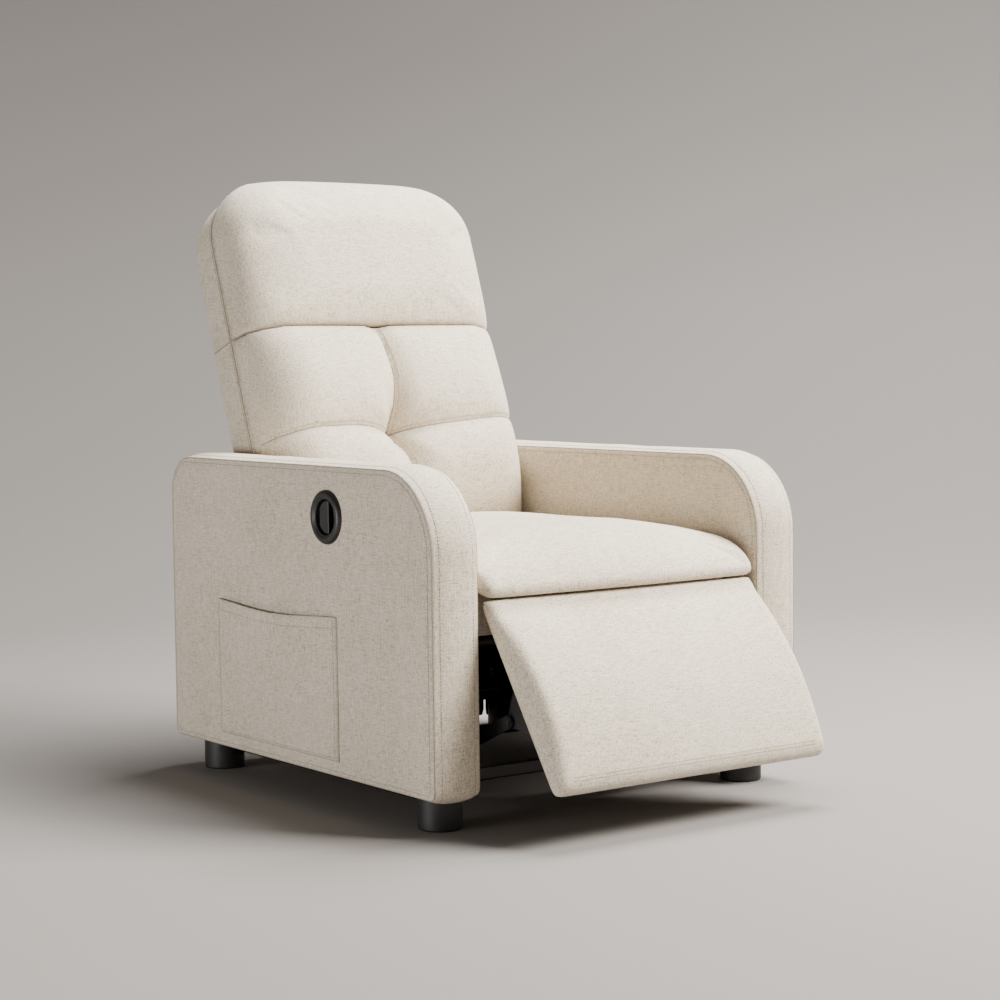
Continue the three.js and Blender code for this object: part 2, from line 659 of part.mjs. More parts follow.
{
  const outer = layerOuter(layers.seat) + 1.3 + borderThickness;
  const inner = outer - borderThickness;
  const frontFace = seatFrameFront - 8;
  const top = noseUnderside - 1;
  const slotHalf = hingeArmThickness / 2 + 3;
  const slots = sides.map(({ sign }) =>
    box(sign * (hingeArmInner - 1), frontFace - 1, footrestHingeHeight - slotHalf,
      sign * (hingeArmOuter + 1), frontFace + borderThickness + 1,
      footrestHingeHeight + slotHalf));
  const border = cut(
    box(-outer, frontFace, borderBottom, outer, seatFrameRear, top),
    box(-inner, frontFace + borderThickness, borderBottom - 5, inner, seatFrameRear + 5, top + 5),
    ...slots);
  addPiece(frontPlane, 'seat_border', border, materials.fabric());
}

for (let i = 0; i < springCount; i += 1) {
  const clear = seatFrameHalf - seatRailWidth - springHalfWidth;
  const x = (((2 * i + 1) / springCount) - 1) * clear;
  const start = seatFrameFront + 12;
  const length = seatFrameRear - 12 - start;
  const points = [];
  const stepsPerWave = 6;
  for (let step = 0; step <= springWaves * stepsPerWave; step += 1) {
    const along = step / (springWaves * stepsPerWave);
    const sway = Math.sin(2 * Math.PI * springWaves * along);
    points.push(new THREE.Vector3(x + springHalfWidth * sway, start + length * along, seatFrameTop + 2.5));
  }
  const spring = swept(new THREE.CatmullRomCurve3(points), springWire, springWaves * stepsPerWave, 6);
  addPiece(frontPlane, `seat_spring_${i + 1}`, spring, materials.steel());
}

{
  const profile = new THREE.Shape();
  profile.moveTo(seatFrameFront - 16, noseUnderside);
  profile.lineTo(seatFrontDepth + 8, noseUnderside);
  profile.quadraticCurveTo(seatFrontDepth, noseUnderside, seatFrontDepth, noseUnderside + 10);
  profile.bezierCurveTo(seatFrontDepth + 4, seatTop - 26, seatFrontDepth + 66, seatTop,
    seatFrontDepth + 150, seatTop);
  profile.lineTo(seatRearDepth - 30, seatTop);
  profile.quadraticCurveTo(seatRearDepth, seatTop, seatRearDepth, seatTop - 28);
  profile.lineTo(seatRearDepth, seatUnderside);
  profile.lineTo(seatFrameFront + 6, seatUnderside);
  profile.closePath();
  const cushion = across(profile, -seatWidth / 2, seatWidth / 2, { drop: 6, run: 14 });
  addPiece(frontPlane, 'seat_cushion', cushion, materials.fabric());
}

// ---------------------------------------------------------------- back
// In the back's frame y is the distance behind the pivot, so its cushions are at negative y.
const back = pivotGroup(backPivotDepth, backPivotHeight, backLean);
const bracketHalfWidth = 12;
{
  const halfBack = backWidth / 2;
  const outline = (bottom, top) => roundedRectangle(-halfBack, bottom, halfBack, top,
    [12, 12, backCornerRadius, backCornerRadius]);

  const backFrame = (grow) => {
    const half = backFrameHalfWidth + grow;
    const front = -backFrameDepth / 2 - grow;
    const rear = backFrameDepth / 2 + grow;
    const postInner = backFrameHalfWidth - backPostWidth - grow;
    const lean = backCornerRadius * 0.55;
    const frame = roundedRectangle(-half, backFrameBottom - grow, half, backFrameTop + grow,
      [0, 0, lean, lean]);
    const windows = [
      [backFrameBottom + backRailHeight, lumbarTop - backRailHeight / 2],
      [lumbarTop + backRailHeight / 2, backFrameTop - backRailHeight],
    ];
    return cut(backwards(frame, front, rear), ...windows.map(([low, high]) =>
      box(-postInner, front - 1, low + grow, postInner, rear + 1, high - grow)));
  };
  const bracket = (sign, grow) => across(
    roundedRectangle(-bracketHalfWidth - grow, -bracketHalfWidth - grow, bracketHalfWidth + grow,
      bracketLength + grow, [12, 12, 6, 6]),
    sign * (layerInner(layers.drive) - grow), sign * (layerOuter(layers.drive) + grow));

  const side = roundedRectangle(-backFrontOffset, backShellBottom, backRearOffset, backHeight,
    [0, 0, 46, 0]);
  const shell = across(side, -halfBack, halfBack, { drop: 12, run: 16 })
    .intersect(backwards(outline(backShellBottom, backHeight), -backFrontOffset - 1, backRearOffset + 1));
  const cavity = join(backFrame(fitGap), bracket(1, fitGap), bracket(-1, fitGap));
  const chases = sides.map(({ sign }) => box(
    sign * (layerInner(layers.drive) - fitGap), -bracketHalfWidth - fitGap, backShellBottom - 5,
    sign * (layerOuter(layers.drive) + fitGap), bracketHalfWidth + fitGap, backFrameBottom + 5));
  addPiece(back, 'back_shell', cut(shell, cavity, ...chases), materials.fabric());
  addPiece(back, 'back_frame', backFrame(0), materials.wood());

  for (const { name, sign } of sides) {
    const strap = cut(bracket(sign, 0),
      layerHole(layers.drive, sign, [0, 0], pivotRadius + pivotClearance));
    addPiece(back, `back_bracket_${name}`, strap, materials.blackSteel());
  }

  const rest = -backFrontOffset - fitGap;
  const lumbar = new THREE.Shape();
  lumbar.moveTo(rest, lumbarBottom);
  lumbar.lineTo(rest, lumbarTop);
  lumbar.lineTo(-lumbarDepth + 34, lumbarTop);
  lumbar.quadraticCurveTo(-lumbarDepth, lumbarTop, -lumbarDepth, lumbarTop - 60);
  lumbar.lineTo(-lumbarDepth, lumbarBottom + 150);
  lumbar.bezierCurveTo(-lumbarDepth, lumbarBottom + 60, -backFrontOffset - 50, lumbarBottom + 10,
    -backFrontOffset - 24, lumbarBottom);
  lumbar.closePath();
  const rolledSides = (half, depth, bottom, top) => upwards(
    roundedRectangle(-half, -depth, half, rest, [cushionRoll, cushionRoll, 0, 0]), bottom - 1, top + 1);
  const lumbarHalf = halfBack - 2;
  const lumbarCushion = across(lumbar, -lumbarHalf, lumbarHalf)
    .intersect(rolledSides(lumbarHalf, lumbarDepth, lumbarBottom, lumbarTop));
  addPiece(back, 'lumbar_cushion', lumbarCushion, materials.fabric());

  const head = roundedRectangle(-headrestDepth, headrestBottom, rest, backHeight, [30, 0, 0, 78]);
  const headrest = across(head, -halfBack, halfBack)
    .intersect(rolledSides(halfBack, headrestDepth, headrestBottom, backHeight))
    .intersect(backwards(outline(headrestBottom, backHeight), -headrestDepth - 1, 0));
  addPiece(back, 'headrest_cushion', headrest, materials.fabric());
}

// ---------------------------------------------------------------- footrest
const footrest = pivotGroup(footrestHingeDepth, footrestHingeHeight, footrestTilt);
const earGap = 0.5;
const pocketInnerX = hingeArmInner - earGap - hingeEarThickness - 1;
const pocketOuterX = hingeArmOuter + earGap + hingeEarThickness + 1;
{
  const half = footrestWidth / 2;
  const quarter = Math.PI / 2;
  const profile = new THREE.Shape();
  profile.moveTo(14 - footrestFace, -footrestDrop);
  profile.absarc(footrestBack - 10, 10 - footrestDrop, 10, -quarter, 0);
  profile.absarc(footrestBack - 8, footrestFace - 8, 8, 0, quarter);
  profile.absarc(0, 0, footrestFace, quarter, 2 * quarter);
  profile.lineTo(-footrestFace, -footrestCrownStart);
  profile.quadraticCurveTo(-footrestFace - 2 * footrestCrown, -(footrestDrop + footrestCrownStart) / 2,
    -footrestFace, 14 - footrestDrop);
  profile.absarc(14 - footrestFace, 14 - footrestDrop, 14, 2 * quarter, 3 * quarter);
  const corners = roundedRectangle(-half, -footrestDrop, half, footrestFace, [22, 22, 6, 6]);
  const sidesRoll = roundedRectangle(-half, -footrestFace - footrestCrown, half, footrestBack,
    [footrestRoll, footrestRoll, 10, 10]);
  const body = across(profile, -half, half)
    .intersect(backwards(corners, -footrestFace - footrestCrown - 1, footrestBack + 1))
    .intersect(upwards(sidesRoll, -footrestDrop - 1, footrestFace + 1));
  const boardFront = footrestBack - boardThickness;
  const boardHollow = box(-boardHalfWidth - fitGap, boardFront - fitGap, -boardBottom - fitGap,
    boardHalfWidth + fitGap, footrestBack + 5, -boardTop + fitGap);
  const hingePockets = sides.map(({ sign }) => box(sign * pocketInnerX, -hingeEyeRadius - 3, -boardTop + 1,
    sign * pocketOuterX, footrestBack + 5, footrestFace + 5));
  addPiece(footrest, 'footrest_pad', cut(body, boardHollow, ...hingePockets), materials.fabric());
  addPiece(footrest, 'footrest_board', box(-boardHalfWidth, boardFront, -boardBottom,
    boardHalfWidth, footrestBack, -boardTop), materials.wood());

  const flangeFront = footrestBack + fitGap;
  const flangeBack = flangeFront + 3.5;
  const liftPivot = [liftPivotBack, -liftPivotDown];
  for (const { name, sign } of sides) {
    const outerX = sign * layerOuter(layers.footrest);
    const ear = join(
      plate(polygon([
        [flangeFront, -liftPivotDown - 45], [flangeBack, -liftPivotDown - 45],
        [liftPivotBack, -liftPivotDown - linkHalfWidth], [liftPivotBack, -liftPivotDown + linkHalfWidth],
        [flangeBack, -liftPivotDown + 45], [flangeFront, -liftPivotDown + 45],
      ]), layers.footrest, sign),
      bar('x', sign * layerInner(layers.footrest), outerX, liftPivot, linkHalfWidth));
    const hingeEar = (inner) => cut(
      join(
        across(polygon([
          [-hingeEyeRadius * 0.5, -hingeEyeRadius * 0.87], [flangeBack, -boardTop + 3],
          [flangeBack, -13], [hingeEyeRadius * 0.5, hingeEyeRadius * 0.87],
        ]), sign * inner, sign * (inner + hingeEarThickness)),
        bar('x', sign * inner, sign * (inner + hingeEarThickness), [0, 0], hingeEyeRadius)),
      bar('x', sign * (inner - 1), sign * (inner + hingeEarThickness + 1), [0, 0],
        hingePinRadius + pivotClearance));
    const earInner = hingeArmInner - earGap - hingeEarThickness;
    const earOuter = hingeArmOuter + earGap;
    const bracket = join(
      box(sign * earOuter, flangeFront, -boardBottom + 20, outerX, flangeBack, -13),
      box(sign * earInner, flangeFront, -boardTop - 10, outerX, flangeBack, -13),
      ear,
      headedPin(layers.footrest, layers.lift, sign, liftPivot, smallPivotRadius),
      hingeEar(earInner),
      hingeEar(earOuter));
    addPiece(footrest, `footrest_bracket_${name}`, bracket, materials.blackSteel());

    const frontFace = seatFrameFront - 8 + borderThickness + fitGap;
    const strapTop = footrestHingeHeight + hingeArmThickness / 2;
    const strapBottom = footrestHingeHeight - hingeArmThickness / 2;
    const pinOverhang = hingeEarThickness + earGap + 0.6;
    const hinge = [footrestHingeDepth, footrestHingeHeight];
    const hingeArm = join(
      box(sign * hingeArmInner, footrestHingeDepth, strapBottom,
        sign * hingeArmOuter, frontFace + 1, strapTop),
      box(sign * (hingeArmInner - 5), frontFace, seatFrameBottom + 8,
        sign * (hingeArmOuter + 5), seatFrameFront - fitGap, noseUnderside - 1),
      bar('x', sign * hingeArmInner, sign * hingeArmOuter, hinge, hingeEyeRadius - 1),
      bar('x', sign * (hingeArmInner - pinOverhang), sign * (hingeArmOuter + pinOverhang), hinge,
        hingePinRadius));
    addPiece(frontPlane, `footrest_hinge_arm_${name}`, hingeArm, materials.blackSteel());
  }
}

// ---------------------------------------------------------------- footrest linkage
const drive = pivotGroup(drivePivot[0], drivePivot[1], footrestTilt);
const tilt = THREE.MathUtils.degToRad(footrestTilt);
const elbow = [
  drivePivot[0] + liftPivotBack * Math.cos(tilt) - liftPivotDown * Math.sin(tilt),
  drivePivot[1] - liftPivotBack * Math.sin(tilt) - liftPivotDown * Math.cos(tilt),
];
const lift = pivotGroup(elbow[0], elbow[1], 0);

for (const { name, sign } of sides) {
  const driveEnd = [liftPivotBack, -liftPivotDown];
  const driveLink = cut(
    join(
      plate(linkShape([0, 0], driveEnd, linkHalfWidth), layers.drive, sign),
      headedPin(layers.drive, layers.lift, sign, driveEnd, smallPivotRadius)),
    layerHole(layers.drive, sign, [0, 0], pivotRadius + pivotClearance));
  addPiece(drive, `drive_link_${name}`, driveLink, materials.blackSteel());

  const liftEnd = [-drivePivotBack, drivePivotDown];
  const liftLink = cut(plate(linkShape(liftEnd, [0, 0], linkHalfWidth - 1), layers.lift, sign),
    layerHole(layers.lift, sign, [0, 0], smallPivotRadius + pivotClearance),
    layerHole(layers.lift, sign, liftEnd, smallPivotRadius + pivotClearance));
  addPiece(lift, `lift_link_${name}`, liftLink, materials.blackSteel());
}
addPiece(drive, 'drive_tube', hollowTube(layerInner(layers.drive) - fitGap, [0, 0]), materials.blackSteel());

export default chair;
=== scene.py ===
import bpy
import bmesh
import json
import math
import numpy as np
from mathutils import Matrix, Vector
from mathutils.bvhtree import BVHTree


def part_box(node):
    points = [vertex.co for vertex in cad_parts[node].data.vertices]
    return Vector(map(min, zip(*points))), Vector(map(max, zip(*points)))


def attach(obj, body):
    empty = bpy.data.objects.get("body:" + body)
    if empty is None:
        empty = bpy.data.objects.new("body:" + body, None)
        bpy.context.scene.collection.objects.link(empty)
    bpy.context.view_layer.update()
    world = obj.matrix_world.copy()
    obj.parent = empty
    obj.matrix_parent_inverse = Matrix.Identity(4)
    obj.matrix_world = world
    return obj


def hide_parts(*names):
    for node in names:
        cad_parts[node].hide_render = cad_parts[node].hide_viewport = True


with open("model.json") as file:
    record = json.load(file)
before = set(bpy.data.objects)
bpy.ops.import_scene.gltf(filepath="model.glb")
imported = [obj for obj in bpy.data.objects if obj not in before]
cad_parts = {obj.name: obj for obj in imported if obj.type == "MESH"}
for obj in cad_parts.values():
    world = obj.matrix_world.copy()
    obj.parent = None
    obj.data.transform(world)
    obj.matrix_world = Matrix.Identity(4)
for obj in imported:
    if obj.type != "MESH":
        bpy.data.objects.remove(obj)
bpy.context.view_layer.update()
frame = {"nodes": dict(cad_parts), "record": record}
cad = frame["nodes"]
scene = bpy.context.scene
print("frame loaded:", len(cad), "CAD pieces")

# Lengths are in millimetres until a mesh is made. A local point is (x, depth, height).
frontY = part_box("arm_cover_left")[0].y * 1000
sides = {"left": 1, "right": -1}
pivots = {
    "chair": (0.0, 0.0, 0.0),  # depth, height, lean in degrees
    "back": (618.0, 305.0, 19.5),
    "footrest": (6.0, 325.0, 33.5),
}


def placed(points, pivot):
    # turns local points by the lean about the pivot's x axis, then moves them to the pivot
    depth, height, lean = pivots[pivot]
    c, s = math.cos(math.radians(lean)), math.sin(math.radians(lean))
    x, y, z = np.moveaxis(np.asarray(points, float), -1, 0)
    return np.stack([x, frontY + depth + y * c + z * s, height - y * s + z * c], -1)


def local(points, pivot):
    # the way back from placed
    depth, height, lean = pivots[pivot]
    c, s = math.cos(math.radians(lean)), math.sin(math.radians(lean))
    x, y, z = np.moveaxis(np.asarray(points, float), -1, 0)
    y, z = y - frontY - depth, z - height
    return np.stack([x, y * c - z * s, y * s + z * c], -1)


def evenly(points, spacing, closed=False):
    # the same line with points an even step apart
    points = np.asarray(points, float)
    if closed:
        points = np.vstack([points, points[:1]])
    steps = np.linalg.norm(np.diff(points, axis=0), axis=1)
    along = np.concatenate([[0], np.cumsum(steps)])
    count = max(2, int(round(along[-1] / spacing)))
    at = np.linspace(0, along[-1], count + 1)[:-1 if closed else None]
    return np.stack([np.interp(at, along, points[:, k]) for k in range(points.shape[1])], -1)


def roundedOutline(corners, radii, spacing):
    # a convex polygon, given anticlockwise, whose corners are arcs of the given radii
    corners = np.asarray(corners, float)
    parts = []
    for k, radius in enumerate(radii):
        before = corners[k - 1] - corners[k]
        after = corners[(k + 1) % len(corners)] - corners[k]
        before, after = before / np.linalg.norm(before), after / np.linalg.norm(after)
        half = math.acos(np.clip(before @ after, -1, 1)) / 2
        reach = radius / math.tan(half)
        middle = corners[k] + (before + after) / np.linalg.norm(before + after) * radius / math.sin(half)
        first = corners[k] + before * reach - middle
        last = corners[k] + after * reach - middle
        turn = np.linspace(0, math.pi - 2 * half, max(3, int(radius / spacing * 3)))[:, None]
        unit = np.array([-first[1], first[0]])
        sense = np.sign(first[0] * last[1] - first[1] * last[0])
        parts.append(middle + np.cos(turn) * first + np.sin(turn) * unit * sense)
    return evenly(np.vstack(parts), spacing, closed=True)


def inwards(outline):
    # unit normals of an anticlockwise closed line, pointing to its inside
    along = np.roll(outline, -1, 0) - np.roll(outline, 1, 0)
    along /= np.linalg.norm(along, axis=1, keepdims=True)
    return np.stack([-along[:, 1], along[:, 0]], -1)


def gridFaces(rows, columns, closed=True):
    # quads of a grid of points, row by row; closed joins the last column to the first
    r = np.arange(rows - 1)[:, None]
    c = np.arange(columns if closed else columns - 1)[None, :]
    n = (c + 1) % columns
    quad = [r * columns + c, r * columns + n, (r + 1) * columns + n, (r + 1) * columns + c]
    return np.stack(quad, -1).reshape(-1, 4)


def makePiece(name, points, faces, material, smooth=True, outwards=True):
    # points in millimetres in the row frame
    mesh = bpy.data.meshes.new(name)
    mesh.from_pydata((np.asarray(points).reshape(-1, 3) / 1000).tolist(), [], [list(f) for f in faces])
    if outwards:
        shell = bmesh.new()
        shell.from_mesh(mesh)
        bmesh.ops.remove_doubles(shell, verts=shell.verts, dist=1e-6)
        bmesh.ops.recalc_face_normals(shell, faces=shell.faces)
        shell.to_mesh(mesh)
        shell.free()
    mesh.polygons.foreach_set("use_smooth", np.full(len(mesh.polygons), smooth))
    mesh.update()
    mesh.materials.append(material)
    piece = bpy.data.objects.new(name, mesh)
    scene.collection.objects.link(piece)
    return piece


def loft(name, rows, material, pivot="chair"):
    # a closed solid through rings of points, with a flat face over the first and the last ring
    rows = np.asarray(rows, float)
    count, columns = rows.shape[:2]
    faces = gridFaces(count, columns).tolist()
    faces.append(list(range(columns)))
    faces.append(list(range((count - 1) * columns, count * columns)))
    return makePiece(name, placed(rows, pivot), faces, material)


def tube(name, path, radius, material, closed=False, sidesRound=10):
    # a round bar: circles across a path, each turned to the path's direction
    path = np.asarray(path, float)
    if closed:
        along = np.roll(path, -1, 0) - np.roll(path, 1, 0)
    else:
        along = np.gradient(path, axis=0)
    along /= np.linalg.norm(along, axis=1, keepdims=True)
    # the circle's first direction is carried along the path, so that the tube doesn't twist
    first = np.cross(along, np.array([0.31, 0.52, 0.8]))
    first /= np.linalg.norm(first, axis=1, keepdims=True)
    second = np.cross(along, first)
    turn = np.linspace(0, 2 * math.pi, sidesRound, endpoint=False)[None, :, None]
    rings = path[:, None] + radius * (np.cos(turn) * first[:, None] + np.sin(turn) * second[:, None])
    if closed:
        rings = np.concatenate([rings, rings[:1]])
        faces = gridFaces(len(rings), sidesRound).tolist()
    else:
        faces = gridFaces(len(rings), sidesRound).tolist()
        faces.append(list(range(sidesRound)))
        faces.append(list(range((len(rings) - 1) * sidesRound, len(rings) * sidesRound)))
    return makePiece(name, rings, faces, material)


def stitches(name, paths, material, pitch=5.0, length=3.4, radius=0.45):
    # a row of thread stitches: each is a spindle along the path, a few faces only
    spindleAlong = np.array([-0.5, -0.34, 0.34, 0.5])[None, :, None, None]
    spindleRound = np.array([0.25, 1.0, 1.0, 0.25])[None, :, None, None]
    turn = np.linspace(0, 2 * math.pi, 5, endpoint=False)[None, None, :, None]
    points, faces, used = [], [], 0
    for path in paths:
        spots = evenly(path, pitch)
        along = np.gradient(spots, axis=0)
        along /= np.linalg.norm(along, axis=1, keepdims=True)
        first = np.cross(along, np.array([0.31, 0.52, 0.8]))
        first /= np.linalg.norm(first, axis=1, keepdims=True)
        second = np.cross(along, first)
        circle = np.cos(turn) * first[:, None, None] + np.sin(turn) * second[:, None, None]
        rings = (spots[:, None, None] + spindleAlong * length * along[:, None, None]
                 + spindleRound * radius * circle)
        count = len(spots)
        quads = gridFaces(4, 5)
        offsets = used + 20 * np.arange(count)[:, None, None]
        faces += (quads[None] + offsets).reshape(-1, 4).tolist()
        faces += (np.arange(5)[None] + offsets[:, 0]).tolist()
        faces += (np.arange(15, 20)[None] + offsets[:, 0]).tolist()
        points.append(rings.reshape(-1, 3))
        used += 20 * count
    return makePiece(name, np.vstack(points), faces, material)


def ripples(a, b, seed, longest, height):
    # a gentle unevenness: a sum of eight waves of random direction between longest and a third of it
    rng = np.random.default_rng(seed)
    total = np.zeros(np.broadcast(a, b).shape)
    for _ in range(8):
        length = longest * rng.uniform(0.33, 1)
        angle, phase = rng.uniform(0, 2 * math.pi, 2)
        total = total + np.sin(2 * math.pi * (a * math.cos(angle) + b * math.sin(angle)) / length + phase)
    return total * height / 8 ** 0.5


def quarterRound(distance, radius):
    # height of a quarter circle over its width: 0 at the edge, 1 from radius on
    return np.sqrt(np.clip(1 - (1 - np.clip(distance / radius, 0, 1)) ** 2, 0, 1))


def smoothTable(at, table):
    # a curve through a few values: straight pieces averaged over a window of 24 mm
    keys, values = np.array(table, float).T
    window = np.linspace(-12, 12, 9)
    return np.mean([np.interp(at + w, keys, values) for w in window], axis=0)


def toLinear(code):
    # sRGB hex to linear
    value = np.array([int(code[k:k + 2], 16) for k in (1, 3, 5)]) / 255
    value = np.where(value <= 0.04045, value / 12.92, ((value + 0.055) / 1.055) ** 2.4)
    return (*value.tolist(), 1.0)


def addNode(tree, kind, feeds, stops=(), out=0, **settings):
    # one node with its settings and colour stops; a feed is a socket to link or a fixed value
    node = tree.nodes.new(kind)
    for key, value in settings.items():
        setattr(node, key, value)
    for key, value in feeds.items():
        if isinstance(value, bpy.types.NodeSocket):
            tree.links.new(value, node.inputs[key])
        else:
            node.inputs[key].default_value = value
    if stops:
        elements = node.color_ramp.elements
        elements.remove(elements[1])
        elements[0].position, elements[0].color = stops[0][0], toLinear(stops[0][1])
        for position, code in stops[1:]:
            elements.new(position).color = toLinear(code)
    return node.outputs[out] if node.outputs else node


def emptyMaterial(name):
    material = bpy.data.materials.new(name)
    material.use_nodes = True
    material.node_tree.nodes.clear()
    return material, material.node_tree, addNode(material.node_tree, "ShaderNodeTexCoord", {}, out="Object")


def madeOf(name, recipe):
    # The recipe's noises have grains of (x, y, z) millimetres. Its colour is read from the stops at a
    # weighted sum of noises; roughness is a base plus a weighted sum; each bump has a sum as its height.
    material, tree, place = emptyMaterial(name)
    noises = {}
    for key, (grain, detail) in recipe["noises"].items():
        scaled = addNode(tree, "ShaderNodeMapping", {"Vector": place, "Scale": [1000 / g for g in grain]})
        noise = {"Vector": scaled, "Scale": 1.0, "Detail": detail}
        noises[key] = addNode(tree, "ShaderNodeTexNoise", noise)

    def mixed(weights, start=0.0):
        total = start
        for key, weight in weights.items():
            terms = {0: noises[key], 1: weight, 2: total}
            total = addNode(tree, "ShaderNodeMath", terms, operation="MULTIPLY_ADD")
        return total

    feeds = dict(recipe.get("shader", {}))
    shade = mixed(recipe["shade"])
    feeds["Base Color"] = addNode(tree, "ShaderNodeValToRGB", {"Fac": shade}, recipe["stops"])
    feeds["Roughness"] = mixed(recipe["roughness"][1], recipe["roughness"][0])
    normal = {}
    for weights, strength, distance in recipe["bumps"]:
        bump = {"Height": mixed(weights), "Strength": strength, "Distance": distance / 1000, **normal}
        normal = {"Normal": addNode(tree, "ShaderNodeBump", bump)}
    shader = addNode(tree, "ShaderNodeBsdfPrincipled", {**feeds, **normal})
    addNode(tree, "ShaderNodeOutputMaterial", {"Surface": shader})
    return material


# Woven polyester and linen blend, heathered: uneven cream and beige threads both ways, matt, with a
# faint fuzz. The real 1.2 mm threads are drawn coarser so that they show.
linen = {
    "noises": {"across": ((14, 1.8, 1.8), 1), "upright": ((1.8, 1.8, 14), 1),
               "lengthwise": ((1.8, 14, 1.8), 1), "flecks": ((2.4, 2.4, 2.4), 3),
               "patches": ((150, 150, 150), 2), "creases": ((60, 60, 60), 2)},
    "shade": {"across": 0.22, "upright": 0.22, "lengthwise": 0.22, "flecks": 0.26, "patches": 0.08},
    "stops": [(0.39, "#A0947E"), (0.46, "#C4B8A4"), (0.54, "#D6CBB9"), (0.64, "#E5DDCF")],
    "roughness": (0.80, {"flecks": 0.16}),
    "bumps": [({"creases": 1.0}, 0.35, 4.0),
              ({"across": 0.33, "upright": 0.33, "lengthwise": 0.33, "flecks": 0.5}, 0.75, 1.1)],
    "shader": {"Sheen Weight": 0.12, "Sheen Roughness": 0.55, "Specular IOR Level": 0.25},
}
# Bonded polyester thread, a tone darker than the cloth: slightly glossy twisted strands. The dark tone is
# also painted shade, since the same material draws the dark seam lines that stand for the shadow in seam
# creases.
sewingThreadAndSeamShade = {
    "noises": {"strands": ((0.7, 0.7, 0.7), 1)},
    "shade": {"strands": 1.0}, "stops": [(0.3, "#82786A"), (0.7, "#9E9382")],
    "roughness": (0.5, {}), "bumps": [({"strands": 1.0}, 0.4, 0.3)],
}
# Injection-moulded ABS from a spark-eroded mould: a fine even grain, satin, with faint rubbed patches.
mouldedHandle = {
    "noises": {"grain": ((0.9, 0.9, 0.9), 2), "rubbed": ((22, 22, 22), 4)},
    "shade": {"rubbed": 1.0}, "stops": [(0.35, "#1A1A1A"), (0.7, "#242423")],
    "roughness": (0.30, {"rubbed": 0.22}), "bumps": [({"grain": 1.0}, 0.25, 0.3)], "shader": {"IOR": 1.53},
}
# Injection-moulded polypropylene: duller and a little coarser than the handle.
mouldedFoot = {
    "noises": {"grain": ((1.1, 1.1, 1.1), 2), "rubbed": ((22, 22, 22), 4)},
    "shade": {"rubbed": 1.0}, "stops": [(0.35, "#161616"), (0.7, "#232323")],
    "roughness": (0.40, {"rubbed": 0.22}), "bumps": [({"grain": 1.0}, 0.25, 0.3)], "shader": {"IOR": 1.5},
}
# Pressed mild steel under black powder coat: fine orange peel, dull satin, dusty in places.
powderCoat = {
    "noises": {"peel": ((1.6, 1.6, 1.6), 2), "dust": ((35, 35, 35), 4)},
    "shade": {"dust": 1.0}, "stops": [(0.4, "#101012"), (0.75, "#1C1C1E")],
    "roughness": (0.38, {"dust": 0.3}), "bumps": [({"peel": 1.0}, 0.3, 0.4)], "shader": {"IOR": 1.5},
}
# Zinc-plated spring and bolt steel: greyish metal with drawn streaks and dull spots.
zincPlate = {
    "noises": {"streaks": ((18, 0.8, 0.8), 2), "spots": ((9, 9, 9), 3)},
    "shade": {"spots": 1.0}, "stops": [(0.35, "#85878B"), (0.7, "#A9ABAE")],
    "roughness": (0.2, {"spots": 0.3}), "bumps": [({"streaks": 1.0}, 0.2, 0.2)],
    "shader": {"Metallic": 1.0},
}
# Poplar plywood and sawn poplar: pale yellow-brown, rings 6 mm apart along x, raised short fibres.
sawnPoplar = {
    "noises": {"rings": ((160, 6, 6), 4), "fibres": ((12, 0.8, 0.8), 2)},
    "shade": {"rings": 1.0}, "stops": [(0.35, "#A98756"), (0.55, "#C9A878"), (0.7, "#DCC196")],
    "roughness": (0.6, {"fibres": 0.2}), "bumps": [({"fibres": 1.0}, 0.35, 0.4)],
}
# Spun-bonded polypropylene lining: black, matt, dimpled by the rollers that bond it. Its black sheets are
# also painted shade that darkens the gaps under the seat and the arms.
spunBondedAndShade = {
    "noises": {"dimples": ((1.8, 1.8, 1.8), 1), "creases": ((70, 70, 70), 2)},
    "shade": {"creases": 1.0}, "stops": [(0.35, "#0B0B0B"), (0.7, "#151514")],
    "roughness": (0.85, {"dimples": 0.1}),
    "bumps": [({"creases": 1.0}, 0.4, 4.0), ({"dimples": 1.0}, 0.4, 0.4)],
    "shader": {"Specular IOR Level": 0.2},
}


def studioPaperPaintedLight(name):
    # Matt background paper, pale warm grey, with painted light and shade: darker near the middle, lighter
    # away from it, as a lit backdrop looks.
    material, tree, place = emptyMaterial(name)
    spread = addNode(tree, "ShaderNodeVectorMath", {0: place}, operation="LENGTH", out="Value")
    share = addNode(tree, "ShaderNodeMath", {0: spread, 1: 9.0}, operation="DIVIDE")
    # painted light and shade: the paper's colour is read from its distance to the middle
    color = addNode(tree, "ShaderNodeValToRGB", {"Fac": share}, [
        (0.0, "#878380"), (0.25, "#8F8B88"), (0.6, "#9E9A97"), (1.0, "#979390")])
    shader = addNode(tree, "ShaderNodeBsdfPrincipled", {
        "Base Color": color, "Roughness": 0.9, "Specular IOR Level": 0.2})
    addNode(tree, "ShaderNodeOutputMaterial", {"Surface": shader})
    return material


cloth = madeOf("woven linen blend", linen)
# thread colour, also used as painted crease shade on the seam lines
threadAndSeamShade = madeOf("polyester sewing thread", sewingThreadAndSeamShade)
handlePlastic = madeOf("satin black moulded ABS", mouldedHandle)
footPlastic = madeOf("black moulded polypropylene", mouldedFoot)
coatedSteel = madeOf("powder coated pressed steel", powderCoat)
bareSteel = madeOf("zinc plated steel", zincPlate)
poplar = madeOf("poplar plywood", sawnPoplar)
liningAndShade = madeOf("black spun-bonded lining", spunBondedAndShade)
paper = studioPaperPaintedLight("background paper with painted light")
print("materials made")


